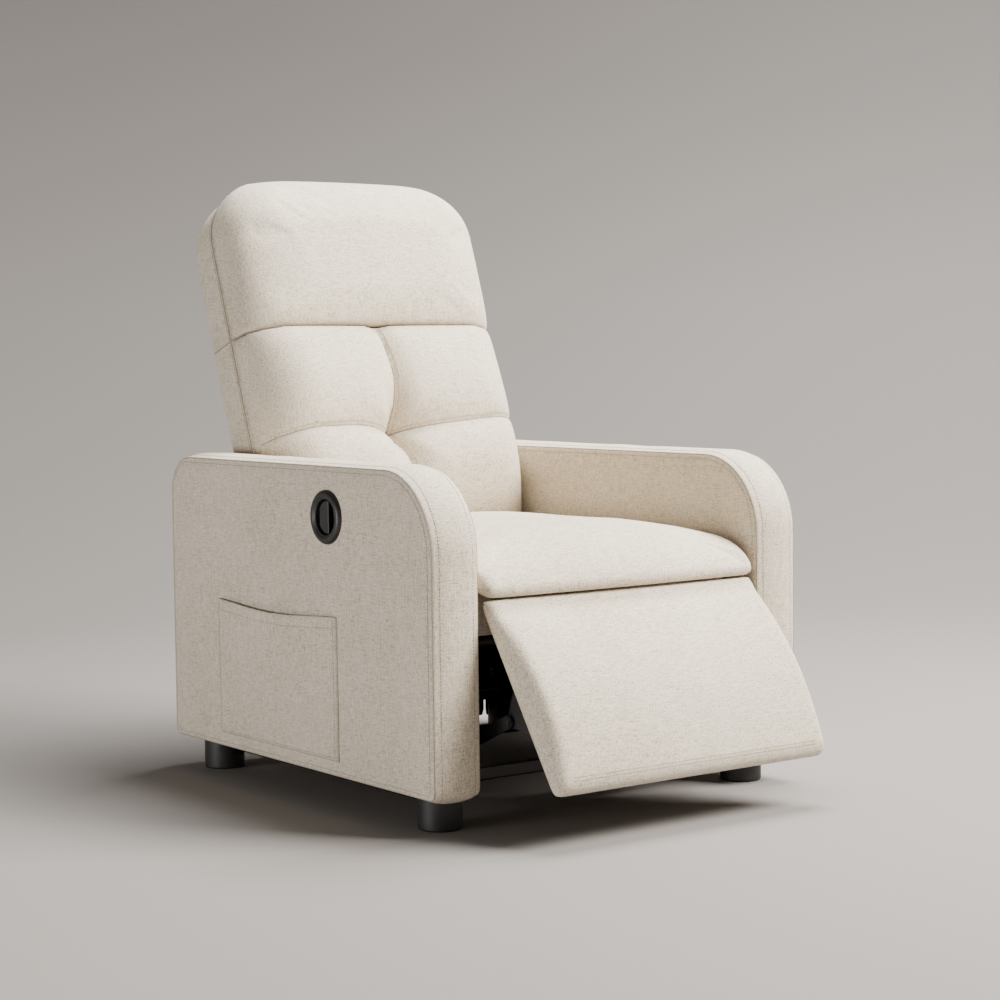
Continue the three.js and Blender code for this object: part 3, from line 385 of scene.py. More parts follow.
camera = bpy.data.objects.new("camera", bpy.data.cameras.new("camera"))
scene.collection.objects.link(camera)
scene.camera = camera
cameraSetup = {
    "place": (-2172.6, -2638.1, 710.8), "yaw": 0.633286974, "pitch": 0.0669603253, "roll": -0.0116427341,
    "lens": 80.27,
}
yaw, pitch, roll = cameraSetup["yaw"], cameraSetup["pitch"], cameraSetup["roll"]
forward = Vector((math.sin(yaw) * math.cos(pitch), math.cos(yaw) * math.cos(pitch), -math.sin(pitch)))
right = Vector((math.cos(yaw), -math.sin(yaw), 0))
up = right.cross(forward)
rightRolled = right * math.cos(roll) + up * math.sin(roll)
upRolled = up * math.cos(roll) - right * math.sin(roll)
turnMatrix = Matrix((rightRolled, upRolled, -forward)).transposed().to_4x4()
where = placed(np.array(cameraSetup["place"]), "chair") / 1000
camera.matrix_world = Matrix.Translation(Vector(where.tolist())) @ turnMatrix
camera.data.lens = cameraSetup["lens"]
camera.data.sensor_width = 36
camera.data.clip_end = 100

studio = {"floorRadius": 2400.0, "bend": 5200.0, "wall": 7500.0}
bowlProfile = np.vstack([
    np.stack([np.linspace(60, studio["floorRadius"], 24), np.zeros(24)], -1),
    np.stack([studio["floorRadius"] + studio["bend"] * np.sin(np.linspace(0.03, math.pi / 2, 40)),
              studio["bend"] * (1 - np.cos(np.linspace(0.03, math.pi / 2, 40)))], -1),
    [[studio["floorRadius"] + studio["bend"], studio["wall"]]]])
around = np.linspace(0, 2 * math.pi, 128, endpoint=False)
bowl = np.stack([bowlProfile[:, None, 0] * np.cos(around), bowlProfile[:, None, 0] * np.sin(around),
                 bowlProfile[:, None, 1] + 0 * around], -1)
bowlFaces = gridFaces(len(bowlProfile), 128).tolist() + [list(range(127, -1, -1))]
floor = makePiece("studioFloor", bowl, bowlFaces, paper, outwards=False)

world = bpy.data.worlds.new("studioWorld")
scene.world = world
world.use_nodes = True
world.node_tree.nodes["Background"].inputs["Color"].default_value = toLinear("#E6E4E1")
world.node_tree.nodes["Background"].inputs["Strength"].default_value = 0.17

lamps = {
    "keyLight": {
        "place": (2.1, -2.3, 3.1), "aim": (0, 0, 0.5), "size": (2.0, 2.0), "power": 560,
        "color": "#FFFAF3"},
    "topLight": {
        "place": (1.0, 0.25, 3.4), "aim": (0, 0, 0.5), "size": (1.6, 1.6), "power": 265,
        "color": "#FFFDFA"},
    "lowFill": {
        "place": (-3.4, 0.0, 0.34), "aim": (0, 0.0, 0.3), "size": (1.7, 0.5), "power": 58,
        "color": "#F7F6F6"},
    "backdropLight": {
        "place": (3.4, 1.8, 3.3), "aim": (5.0, 4.4, 1.0), "size": (2.4, 1.6), "power": 105,
        "color": "#FFFCF9"},
}
for lampName, setup in lamps.items():
    lamp = bpy.data.objects.new(lampName, bpy.data.lights.new(lampName, "AREA"))
    lamp.data.shape = "RECTANGLE"
    lamp.data.size, lamp.data.size_y = setup["size"]
    lamp.data.energy = setup["power"]
    lamp.data.color = toLinear(setup["color"])[:3]
    aim = Vector(setup["aim"]) - Vector(setup["place"])
    turned = aim.to_track_quat("-Z", "Y").to_matrix().to_4x4()
    lamp.matrix_world = Matrix.Translation(Vector(setup["place"])) @ turned
    scene.collection.objects.link(lamp)
print("camera and studio made")


def coordinates(piece):
    # the mesh's points in millimetres
    flat = np.zeros(len(piece.data.vertices) * 3)
    piece.data.vertices.foreach_get("co", flat)
    return flat.reshape(-1, 3) * 1000


def setCoordinates(piece, points):
    piece.data.vertices.foreach_set("co", (points / 1000).ravel())
    piece.data.update()


def applied(piece):
    # replaces the mesh by what its modifiers make of it, and clears them
    depsgraph = bpy.context.evaluated_depsgraph_get()
    mesh = bpy.data.meshes.new_from_object(piece.evaluated_get(depsgraph))
    old = piece.data
    piece.modifiers.clear()
    piece.data = mesh
    mesh.name = old.name
    bpy.data.meshes.remove(old)
    mesh.polygons.foreach_set("use_smooth", np.full(len(mesh.polygons), True))
    return piece


def puffUp(piece, held, cap, pressure=4.0, voxel=6.0, smoothing=2):
    # even mesh, then cloth under inner pressure, whose seams and back are held still
    remesh = piece.modifiers.new("even", "REMESH")
    remesh.mode = "VOXEL"
    remesh.voxel_size = voxel / 1000
    applied(piece)
    rest = coordinates(piece)
    group = piece.vertex_groups.new(name="held")
    group.add(np.flatnonzero(held(rest)).tolist(), 1.0, "REPLACE")
    sim = piece.modifiers.new("stuffing", "CLOTH")
    sim.settings.quality = 4
    sim.settings.mass = 0.3
    sim.settings.use_pressure = True
    sim.settings.uniform_pressure_force = pressure
    sim.settings.tension_stiffness = 12
    sim.settings.compression_stiffness = 12
    sim.settings.bending_stiffness = 0.6
    sim.settings.effector_weights.gravity = 0
    sim.settings.vertex_group_mass = "held"
    sim.point_cache.frame_start = 1
    sim.point_cache.frame_end = 20
    for number in range(1, 21):
        scene.frame_set(number)
    applied(piece)
    moved = coordinates(piece) - rest
    length = np.linalg.norm(moved, axis=1, keepdims=True)
    # beyond the cap a point moves no further
    setCoordinates(piece, rest + moved * np.minimum(1, cap / np.maximum(length, 1e-6)))
    scene.frame_set(1)
    piece.vertex_groups.clear()
    if smoothing:
        soften = piece.modifiers.new("soften", "SMOOTH")
        soften.factor = 0.5
        soften.iterations = smoothing
    finer = piece.modifiers.new("finer", "SUBSURF")
    finer.levels = 1
    finer.render_levels = 1
    applied(piece)
    return piece


def surfaceOf(piece):
    points = coordinates(piece)
    polygons = [tuple(p.vertices) for p in piece.data.polygons]
    return BVHTree.FromPolygons(points.tolist(), polygons)


def laidOn(tree, path, direction, lift=0.0, reach=160.0):
    # the path moved along the direction until it meets the surface, then lifted back off it
    direction = np.asarray(direction, float) / np.linalg.norm(direction)
    found = []
    for point in path:
        hit = tree.ray_cast(Vector(point - direction * reach), Vector(direction))[0]
        found.append(point if hit is None else np.array(hit) - direction * lift)
    return np.array(found)


def pressSeam(piece, path, depth, width, direction):
    # a groove along a path: points within reach sink along the direction by a bell curve of the distance
    points = coordinates(piece)
    path = evenly(path, 4.0)
    sink = np.zeros(len(points))
    low, high = path.min(0) - 3 * width, path.max(0) + 3 * width
    near = np.flatnonzero(np.all((points > low) & (points < high), axis=1))
    for chunk in np.array_split(near, max(1, len(near) // 8000)):
        gap = np.linalg.norm(points[chunk][:, None] - path[None], axis=2).min(1)
        sink[chunk] = depth * np.exp(-(gap / width) ** 2)
    direction = np.asarray(direction, float) / np.linalg.norm(direction)
    setCoordinates(piece, points + sink[:, None] * direction)


def axisOf(pivot, vector):
    # a local direction in the row frame
    return placed(np.array(vector, float), pivot) - placed(np.zeros(3), pivot)


def finishPiece(piece, body, slotName, *replaced):
    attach(piece, body)
    if replaced:
        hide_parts(*replaced)
    return piece


arm = {
    "inner": 275.0, "outer": 360.0, "length": 790.0, "bottom": 54.0, "top": 538.0,
    "frontRadius": 125.0, "rearRadius": 65.0, "footRadius": 14.0,
    "edgeRadius": 8.0, "bandCrown": 5.0, "panelPuff": 2.6, "seamShadeLine": 0.75,
    "panelStitches": 10.0, "bandStitches": 13.0, "spineFrom": 240.0, "spineTo": 560.0,
}


def armOutline(spacing=7.0):
    # side view, anticlockwise in (depth, height)
    low, high, rear = arm["bottom"], arm["top"], arm["length"]
    radii = [arm["footRadius"], arm["footRadius"], arm["rearRadius"], arm["frontRadius"]]
    return roundedOutline([(0, low), (rear, low), (rear, high), (0, high)], radii, spacing)


def armCover(side):
    # rings: side panel from its middle out to the seam, over the crowned band, and back in
    sign = sides[side]
    outline = armOutline()
    normal = inwards(outline)
    middle = (arm["bottom"] + arm["top"]) / 2
    level = 0 * outline[:, 0]
    spine = np.stack([np.clip(outline[:, 0], arm["spineFrom"], arm["spineTo"]), middle + level], -1)
    radius = arm["edgeRadius"]
    panelLine = outline + radius * normal
    rows = []
    for share in np.concatenate([np.linspace(0.62, 0.06, 20), [0.03, 0.012]]):
        flat = panelLine + (spine - panelLine) * share
        puff = arm["panelPuff"] * (1 - np.exp(-share / 0.05))
        puff = puff + ripples(flat[:, 0], flat[:, 1], 11 if sign > 0 else 12, 260, 0.6) * min(1, share * 8)
        rows.append((flat, arm["outer"] + puff))
    turns = np.linspace(0, math.pi / 2, 8)
    for turn in turns:
        rolled = outline + radius * (1 - math.sin(turn)) * normal
        rows.append((rolled, arm["outer"] - radius * (1 - math.cos(turn)) + level))
    half = (arm["outer"] - arm["inner"]) / 2
    along = np.arange(len(outline)) * 7.0
    for t in np.linspace(1, -1, 20)[1:-1]:
        wave = ripples(along, t * half + level, 21 if sign > 0 else 22, 190, 0.45) * (1 - t * t)
        inset = wave - arm["bandCrown"] * (1 - abs(t) ** 2.6)
        x = (arm["outer"] + arm["inner"]) / 2 + t * (half - radius)
        rows.append((outline + inset[:, None] * normal, x + level))
    for turn in turns[::-1]:
        rolled = outline + radius * (1 - math.sin(turn)) * normal
        rows.append((rolled, arm["inner"] + radius * (1 - math.cos(turn)) + level))
    for share in np.concatenate([[0.012, 0.03], np.linspace(0.06, 0.62, 12)]):
        flat = panelLine + (spine - panelLine) * share
        rows.append((flat, arm["inner"] - 1.2 * (1 - np.exp(-share / 0.05)) + level))
    rings = np.array([np.column_stack([sign * x, flat[:, 0], flat[:, 1]]) for flat, x in rows])
    return loft("armCover" + side.capitalize(), rings, cloth)


def armSeamPath(side, x, inset, spacing=5.0):
    sign = sides[side]
    outline = armOutline(spacing)
    line = outline + inset * inwards(outline)
    return placed(np.column_stack([np.full(len(line), sign * x), line]), "chair")


handle = {
    "depth": 278.0, "height": 458.0, "ringRadius": 42.5, "dish": 33.0, "cupRadius": 27.5, "cupDepth": 27.5,
    "paddleRadius": 26.0, "paddleLip": 6.5, "paddleHinge": 22.0, "paddleThickness": 4.0, "paddleProud": 4.0,
    "paddleRim": 1.4, "holeRadius": 36.5, "holeDepth": 33.0,
}

# front, rear, bottom and top of each sheet of black lining on an arm; the sheets are also painted shade
# under the seat, and the lower sheet is painted shade only
liningAndShadeSheets = {"": (24.0, 760.0, 58.0, 312.0), "Hem": (112.0, 746.0, 24.0, 70.0)}
rearShadeSheet = {"half": 270.5, "bottom": 24.0, "top": 276.0, "corner": 6.0, "depths": (749.0, 752.0)}

for side in sides:
    cover = armCover(side)
    if side == "right":
        # the round hole that the handle's cup sits in
        ring = np.linspace(0, 2 * math.pi, 72, endpoint=False)
        hole = np.array([np.column_stack([
            np.full(len(ring), -x), handle["depth"] + handle["holeRadius"] * np.cos(ring),
            handle["height"] + handle["holeRadius"] * np.sin(ring)])
            for x in (arm["outer"] - handle["holeDepth"], arm["outer"] + 12)])
        cutter = loft("holeCutter", hole, cloth)
        opening = cover.modifiers.new("hole", "BOOLEAN")
        opening.operation = "DIFFERENCE"
        opening.solver = "EXACT"
        opening.object = cutter
        applied(cover)
        bpy.data.objects.remove(cutter)
    finishPiece(cover, "base", "upholstery", "arm_cover_" + side)
    corner = arm["edgeRadius"] * (1 - math.sqrt(0.5))
    # painted shade: a dark thread-coloured tube along each edge of the band stands for the shadow in the
    # seam's crease
    for edge, x in (("Outer", arm["outer"] - corner), ("Inner", arm["inner"] + corner)):
        path = armSeamPath(side, x, corner)
        seamShadeLine = tube(f"armSeamShade{edge}{side.capitalize()}", path, arm["seamShadeLine"], threadAndSeamShade, closed=True)
        finishPiece(seamShadeLine, "base", "upholstery")
    row = stitches("armStitches" + side.capitalize(), [
        armSeamPath(side, arm["outer"] + 0.9, arm["panelStitches"]),
        armSeamPath(side, arm["outer"] - arm["bandStitches"], -1.9),
        armSeamPath(side, arm["inner"] + arm["bandStitches"], -1.9),
        armSeamPath(side, arm["inner"] - 0.6, arm["panelStitches"])], threadAndSeamShade)
    finishPiece(row, "base", "upholstery")
    # black lining on the arm's inner side, below the seat, and its hem that hangs lower; painted shade: dark
    # sheets that keep the lit floor from showing through under the seat and under the arm
    for part, (front, rear, low, high) in liningAndShadeSheets.items():
        outline = roundedOutline([(front, low), (rear, low), (rear, high), (front, high)], [8.0] * 4, 12.0)
        rings = []
        for x, inset in ((arm["inner"], 0.0), (arm["inner"] - 3.1, 0.0), (arm["inner"] - 3.8, 1.2)):
            ring = outline + inset * inwards(outline)
            rings.append(np.column_stack([np.full(len(outline), sides[side] * x), ring]))
        finishPiece(loft(f"armLiningShade{part}{side.capitalize()}", rings, liningAndShade), "base", "upholstery")
# painted shade: a black sheet across the rear under the seat, so the view beneath the seat reads dark
corners = [(-rearShadeSheet["half"], rearShadeSheet["bottom"]), (rearShadeSheet["half"], rearShadeSheet["bottom"]),
           (rearShadeSheet["half"], rearShadeSheet["top"]), (-rearShadeSheet["half"], rearShadeSheet["top"])]
outline = roundedOutline(corners, [rearShadeSheet["corner"]] * 4, 12.0)
rings = [np.insert(outline, 1, depth, axis=1) for depth in rearShadeSheet["depths"]]
finishPiece(loft("rearLiningShade", rings, liningAndShade), "base", "upholstery")
print("arms made")


pocket = {
    "front": 254.0, "rear": 619.0, "bottom": 81.0, "top": 303.0, "gape": 7.5, "sag": 8.0,
    "thickness": 1.6, "proud": 6.5, "edge": 3.0, "hem": 16.0, "hemRadius": 2.3, "stitchInset": 5.0,
}


def pocketPoint(p, q, out=0.0):
    # p runs from front to rear, q from bottom to top. The panel is sewn flat at the sides and the
    # bottom, stands off most at the top's middle, and its top edge sags in a shallow curve.
    depth = pocket["front"] + p * (pocket["rear"] - pocket["front"])
    top = pocket["top"] - pocket["sag"] * np.sin(math.pi * p) ** 1.5
    height = pocket["bottom"] + q * (top - pocket["bottom"])
    middle = np.sin(math.pi * np.clip(p, 0, 1))
    lift = pocket["gape"] * middle ** 0.6 * q ** 1.8
    gathers = 1.5 * np.sin(2 * math.pi * p * 15 + 2 * np.sin(9 * p)) * q ** 3 * middle ** 0.7
    gathers = gathers * (0.45 + 0.55 * np.sin(7 * p + 0.6) ** 2)
    folds = ripples(depth * 2.2, height, 31, 170, 0.9) * middle * np.sin(math.pi * np.clip(q, 0, 1) * 0.5)
    fromSides = np.minimum(depth - pocket["front"], pocket["rear"] - depth)
    fromEdge = np.minimum(fromSides, height - pocket["bottom"])
    edge = pocket["proud"] * quarterRound(fromEdge, pocket["edge"])
    x = -(arm["outer"] - 0.6 + edge + lift + gathers + folds + out)
    return np.stack([x + 0 * depth, depth, height], -1)


across = np.concatenate([
    [0, 0.0015, 0.004, 0.008], np.linspace(0.014, 0.986, 170), [0.992, 0.996, 0.9985, 1]])
p, q = np.meshgrid(across, np.concatenate([[0, 0.003, 0.007, 0.012], np.linspace(0.02, 1, 90)]))
panel = pocketPoint(p, q)
panelFaces = gridFaces(*p.shape, closed=False)
pocketPanel = makePiece("sidePocket", placed(panel, "chair"), panelFaces, cloth, outwards=False)
wall = pocketPanel.modifiers.new("thickness", "SOLIDIFY")
wall.thickness = pocket["thickness"] / 1000
wall.offset = 0
applied(pocketPanel)
finishPiece(pocketPanel, "base", "upholstery", "side_pocket")
rim = np.linspace(0.0, 1.0, 90)
hemLine = placed(pocketPoint(rim, np.ones(90), 0.3), "chair")
hem = tube("pocketHem", hemLine, pocket["hemRadius"], cloth)
finishPiece(hem, "base", "upholstery")
inP = pocket["stitchInset"] / (pocket["rear"] - pocket["front"])
inQ = pocket["stitchInset"] / (pocket["top"] - pocket["bottom"])
edgePath = np.vstack([
    pocketPoint(np.full(40, inP), np.linspace(0.985, inQ, 40), 1.1),
    pocketPoint(np.linspace(inP, 1 - inP, 80), np.full(80, inQ), 1.1),
    pocketPoint(np.full(40, 1 - inP), np.linspace(inQ, 0.985, 40), 1.1)])
# painted shade: a dark tube along the pocket's sewn front, bottom and rear edges stands for the shadow where
# the panel stands off the arm
sewnEdge = np.vstack([
    np.column_stack([np.full(30, pocket["front"]), np.linspace(pocket["top"] - 2, pocket["bottom"], 30)]),
    np.column_stack([np.linspace(pocket["front"], pocket["rear"], 50), np.full(50, pocket["bottom"])]),
    np.column_stack([np.full(30, pocket["rear"]), np.linspace(pocket["bottom"], pocket["top"] - 2, 30)])])
sewnEdge = np.column_stack([np.full(len(sewnEdge), -(arm["outer"] + 2.4)), sewnEdge])
pocketEdgeShade = tube("pocketEdgeShade", placed(evenly(sewnEdge, 5.0), "chair"), 1.1, threadAndSeamShade)
finishPiece(pocketEdgeShade, "base", "upholstery")
hemQ = 1 - pocket["hem"] / (pocket["top"] - pocket["bottom"])
hemPath = pocketPoint(np.linspace(0.01, 0.99, 80), np.full(80, hemQ), 1.1)
row = stitches("pocketStitches", [placed(edgePath, "chair"), placed(hemPath, "chair")], threadAndSeamShade)
finishPiece(row, "base", "upholstery")
print("pocket made")


back = {
    "half": 262.0, "bottom": 20.0, "top": 730.0, "cornerRadius": 112.0, "rear": -52.0, "front": 25.0,
    "rearEdge": 15.0, "topEdge": 36.0, "panelPuff": 5.0,
}


def backShell():
    # rings in the plane of the back: rear panel, rounded rear edge, side band, front
    half, radius = back["half"], back["cornerRadius"]
    corners = [(-half, back["bottom"]), (half, back["bottom"]), (half, back["top"]), (-half, back["top"])]
    outline = roundedOutline(corners, [46, 46, radius, radius], 8.0)
    normal = inwards(outline)
    middle = np.stack([np.clip(outline[:, 0], -120, 120), np.clip(outline[:, 1], 200, 560)], -1)
    toTop = np.clip((outline[:, 1] - 560) / (back["top"] - 560), 0, 1)
    edge = back["rearEdge"] + (back["topEdge"] - back["rearEdge"]) * toTop * toTop * (3 - 2 * toTop)
    rows = []
    inner = outline + edge[:, None] * normal
    for share in np.concatenate([np.linspace(0.75, 0.08, 18), [0.04, 0.015]]):
        flat = inner + (middle - inner) * share
        puff = back["panelPuff"] * (1 - np.exp(-share / 0.12))
        puff = puff + ripples(flat[:, 0], flat[:, 1], 41, 320, 0.7) * min(1, share * 5)
        rows.append((flat, back["rear"] + 3.0 - puff))
    for turn in np.linspace(0, math.pi / 2, 10):
        inset = edge * (1 - math.sin(turn))
        rows.append((outline + inset[:, None] * normal, back["rear"] + 3.0 + edge * (1 - math.cos(turn))))
    for t in np.linspace(0, 1, 12)[1:]:
        level = back["rear"] + 3.0 + edge + (back["front"] + 2.0 - back["rear"] - 3.0 - edge) * t
        wave = ripples(outline[:, 0] + outline[:, 1], np.full(len(outline), t * 80), 42, 260, 0.5)
        rows.append((outline + (wave * (1 - t))[:, None] * normal, level))
    rings = np.array([np.column_stack([flat[:, 0], -level, flat[:, 1]]) for flat, level in rows])
    return loft("backShell", rings, cloth, "back")


shell = backShell()
finishPiece(shell, "backrest", "upholstery", "back_shell")


def pillow(name, width, bottom, top, face, rear, material, pivot, rearRoll=0.0, columns=96, rowsCount=80):
    # a closed cushion: a front skin over the outline, a rear skin, and a wall between their rims.
    # width(v) is the half width at height v, top(x) the height of the upper edge, and face(x, v) how far
    # the front stands off.
    across = np.sin(np.linspace(-math.pi / 2, math.pi / 2, columns))
    upwardsShare = 0.5 + 0.5 * np.sin(np.linspace(-math.pi / 2, math.pi / 2, rowsCount))
    a, b = np.meshgrid(across, upwardsShare)
    v = bottom + b * (top(a * width(np.full_like(a, bottom))) - bottom)
    x = a * width(v)
    u = face(x, v)
    front = np.stack([x, -u, v], -1)
    # the rear skin is flat, and rolls forward near the rim
    fromRim = np.minimum(np.minimum(width(v) - np.abs(x), v - bottom), top(x) - v)
    behind = np.stack([x, -rear - rearRoll * (1 - quarterRound(fromRim, max(rearRoll, 1.0))), v], -1)
    grid = rowsCount * columns
    faces = gridFaces(rowsCount, columns, closed=False)
    edge = np.concatenate([
        np.arange(columns), columns * np.arange(1, rowsCount) + columns - 1,
        (rowsCount - 1) * columns + np.arange(columns - 2, -1, -1),
        columns * np.arange(rowsCount - 2, 0, -1)])
    after = np.roll(edge, -1)
    wall = np.stack([edge, after, after + grid, edge + grid], -1)
    points = np.concatenate([front.reshape(-1, 3), behind.reshape(-1, 3)])
    return makePiece(name, placed(points, pivot), np.vstack([faces, faces + grid, wall]).tolist(), material)


backCushion = {
    "half": 262.0, "rim": 46.0, "sideRoll": 88.0, "seamV": 444.0, "rear": 26.0, "top": 735.0,
    "headFace": 124.0, "seamStep": 20.0, "topRoll": 92.0,
}


def headWidth(v):
    # half width: straight sides, then the top corners' arcs
    over = np.clip(v - (backCushion["top"] - back["cornerRadius"]), 0, back["cornerRadius"])
    return backCushion["half"] - back["cornerRadius"] + np.sqrt(back["cornerRadius"] ** 2 - over ** 2)


def headTop(x):
    return backCushion["top"] - 1.0 - 7.0 * (x / backCushion["half"]) ** 2


def headFace(x, v):
    # a wide crown that rolls off at the sides and the top, and sinks to the seam below
    side = quarterRound(headWidth(v) - np.abs(x), backCushion["sideRoll"])
    over = quarterRound(headTop(x) - v, backCushion["topRoll"])
    seam = quarterRound(v - backCushion["seamV"], 46)
    swell = 4 * np.sin(math.pi * np.clip((v - 440) / 270, 0, 1))
    crown = backCushion["headFace"] - 5 * (x / 200) ** 2 + swell
    gathers = 1.5 * np.sin(2 * math.pi * (x + 14 * np.sin(x / 37)) / 27)
    gathers = gathers * np.exp(-(v - backCushion["seamV"]) / 26)
    gathers = gathers * np.exp(-(x / 130) ** 2)
    skin = backCushion["rim"] + (crown - backCushion["rim"]) * side * over
    skin = skin - backCushion["seamStep"] * (1 - seam) * side * over + gathers
    return np.maximum(skin, backCushion["rear"] + 4)


def tuftSeamX(v):
    # the sewn line down the middle steps aside as it passes the pinch
    return smoothTable(v, [
        (90, 8), (187, 3), (219, -3), (240, -11), (262, -13), (300, -6), (350, -1), (400, -5), (446, -12)])


def tuftSeamV(x):
    # the level seam dips to the pinch
    return smoothTable(x, [
        (-265, 246), (-240, 249), (-185, 255), (-90, 257), (-14, 251), (60, 254), (130, 258), (190, 262),
        (265, 266)])


# height along the back and stand-off of the lumbar cushion's crown
lumbarProfile = [
    (60, 52), (92, 66), (110, 88), (130, 105), (155, 119), (185, 129), (215, 134), (242, 136),
    (300, 134), (360, 129), (400, 125), (460, 121)]
pinch = {"x": -13.0, "v": 251.0, "depth": 60.0, "alongSeams": 42.0, "betweenSeams": 27.0}
tuft = {
    "uprightDepth": 16.0, "uprightWidth": 17.0, "levelDepth": 8.0, "levelWidth": 10.0, "dome": 12.0,
    "cellHalf": 262.0, "cellHeight": 180.0,
}


def lumbarFace(x, v):
    # four domes between an upright seam, a level seam and the seam under the headrest; where the two
    # seams cross, a funnel that reaches further along the seams than between them
    base = smoothTable(v, lumbarProfile)
    side = quarterRound(backCushion["half"] - np.abs(x), backCushion["sideRoll"])
    seam = quarterRound(backCushion["seamV"] - v, 40)
    upright = tuft["uprightDepth"] * np.exp(-(np.abs(x - tuftSeamX(v)) / tuft["uprightWidth"]) ** 1.1)
    upright = upright * np.clip((v - 92) / 60, 0.3, 1)
    level = tuft["levelDepth"] * np.exp(-(np.abs(v - tuftSeamV(x)) / tuft["levelWidth"]) ** 1.2)
    across, over = x - pinch["x"], v - pinch["v"]
    distance = np.hypot(across, over) + 1e-6
    crossShape = np.cos(2 * np.arctan2(over, across)) ** 2
    reach = pinch["betweenSeams"] + (pinch["alongSeams"] - pinch["betweenSeams"]) * crossShape
    funnel = pinch["depth"] * np.exp(-(distance / reach) ** 1.15)
    cell = np.abs(np.sin(math.pi * np.clip(over / tuft["cellHeight"], -1, 1)))
    cell = cell * np.sin(math.pi * np.clip(np.abs(across) / tuft["cellHalf"], 0, 1)) ** 0.7
    drawn = 1.6 * np.sin(np.arctan2(over, across) * 13)
    drawn = drawn * np.exp(-distance / 38) * (1 - np.exp(-distance / 12))
    low = backCushion["rim"] - 8
    skin = low + (base + tuft["dome"] * cell - 3 - low) * side
    sunk = np.maximum(upright, level) + funnel + (backCushion["seamStep"] - 4) * (1 - seam)
    skin = skin - sunk * side + drawn * side
    return np.maximum(skin, backCushion["rear"] + 5)


def straightWidth(v):
    return np.full_like(v, backCushion["half"] - 1.0)


def heldInBack(points):
    # the back plane, the side seams and the tuft seams stay where they are sewn
    x, y, v = local(points, "back").T
    u = -y
    onSeam = (np.abs(x - tuftSeamX(v)) < 4) | (np.abs(v - tuftSeamV(x)) < 4)
    onSeam |= np.hypot(x - pinch["x"], v - pinch["v"]) < 12
    lumbar = v < backCushion["seamV"]
    nearSeam = np.abs(v - backCushion["seamV"]) < 9
    return (u < 66) | nearSeam | (lumbar & onSeam) | (np.abs(x) > backCushion["half"] - 6)


def seamTop(x):
    return backCushion["seamV"] - 1.0 + 0 * x


lumbarCushion = pillow("lumbarCushion", straightWidth, 92.0, seamTop, lumbarFace,
                       backCushion["rear"], cloth, "back")
puffUp(lumbarCushion, heldInBack, cap=5.0, pressure=2.4)
headCushion = pillow("headrestCushion", headWidth, backCushion["seamV"] + 1.0, headTop, headFace,
                     backCushion["rear"], cloth, "back")
puffUp(headCushion, heldInBack, cap=4.0, pressure=2.0)
# seam paths start well in front of the back and are laid on the cloth
toBack = axisOf("back", (0, 1, 0))
v = np.linspace(112, 434, 80)
uprightSeam = placed(np.stack([tuftSeamX(v), np.full(80, -110.0), v], -1), "back")
x = np.linspace(-260, 260, 130)
levelSeam = placed(np.stack([x, np.full(130, -110.0), tuftSeamV(x)], -1), "back")
for seamPath, depth in ((uprightSeam, 4.0), (levelSeam, 4.5)):
    onCloth = laidOn(surfaceOf(lumbarCushion), seamPath, toBack)
    pressSeam(lumbarCushion, onCloth, depth, 3.6, toBack)
# painted shade: dark tubes laid in the pressed seams stand for the shadow in their creases
for seamName, seamPath in (("lumbarUprightSeamShade", uprightSeam), ("lumbarLevelSeamShade", levelSeam)):
    seamShadeLine = tube(seamName, laidOn(surfaceOf(lumbarCushion), seamPath, toBack, 0.1), 0.9, threadAndSeamShade)
    finishPiece(seamShadeLine, "backrest", "upholstery")
lumbarTree = surfaceOf(lumbarCushion)
for piece, node, fill in ((lumbarCushion, "lumbar_cushion", 0.75), (headCushion, "headrest_cushion", 0.8)):
    finishPiece(piece, "backrest", "upholstery", node)
lumbarStitches = stitches("lumbarStitches", [
    laidOn(lumbarTree, levelSeam + axisOf("back", (0, 0, 5.5)), toBack, 0.2),
    laidOn(lumbarTree, uprightSeam + np.array([6.0, 0, 0]), toBack, 0.2)], threadAndSeamShade)
finishPiece(lumbarStitches, "backrest", "upholstery")
print("back made")


def backSidePath(x, u, low, high, spacing=6.0):
    # up one side, round the top corners and down the other, at a stand-off from the back plane
    half, radius = abs(x), back["cornerRadius"]
    corners = [(-half, low - 200), (half, low - 200), (half, high), (-half, high)]
    line = roundedOutline(corners, [10, 10, radius, radius], spacing)
    line = np.roll(line, -int(np.argmin(np.hypot(line[:, 0] - half, line[:, 1] - low))), axis=0)
    line = line[line[:, 1] > low]
    return placed(np.column_stack([line[:, 0], np.full(len(line), -u), line[:, 1]]), "back")


# painted shade: dark tubes along the side band's seam and the head seam's ends stand for the shadow in the
# seam creases
bandSeamShade = tube("backBandSeamShade", backSidePath(262.4, 25.0, 60.0, 731.0), 0.9, threadAndSeamShade)
finishPiece(bandSeamShade, "backrest", "upholstery")
for side, sign in sides.items():
    line = np.array([[sign * 262.3, -u, backCushion["seamV"] - 0.5] for u in np.linspace(44, -36, 30)])
    seamShadeLine = tube("headSeamShade" + side.capitalize(), placed(line, "back"), 0.9, threadAndSeamShade)
    finishPiece(seamShadeLine, "backrest", "upholstery")
bandStitches = stitches("backBandStitches", [backSidePath(263.0, 20.0, 60.0, 731.5)], threadAndSeamShade)
finishPiece(bandStitches, "backrest", "upholstery")


seat = {
    "half": 267.0, "crown": 15.0, "crownHalf": 260.0, "sideRound": 17.0, "noseBulge": 6.0, "noseReach": 60.0,
    "topFrom": 372.0, "topBlend": 34.0, "hollow": 6.0, "hollowDepth": 560.0, "hollowWidth": 60.0,
}
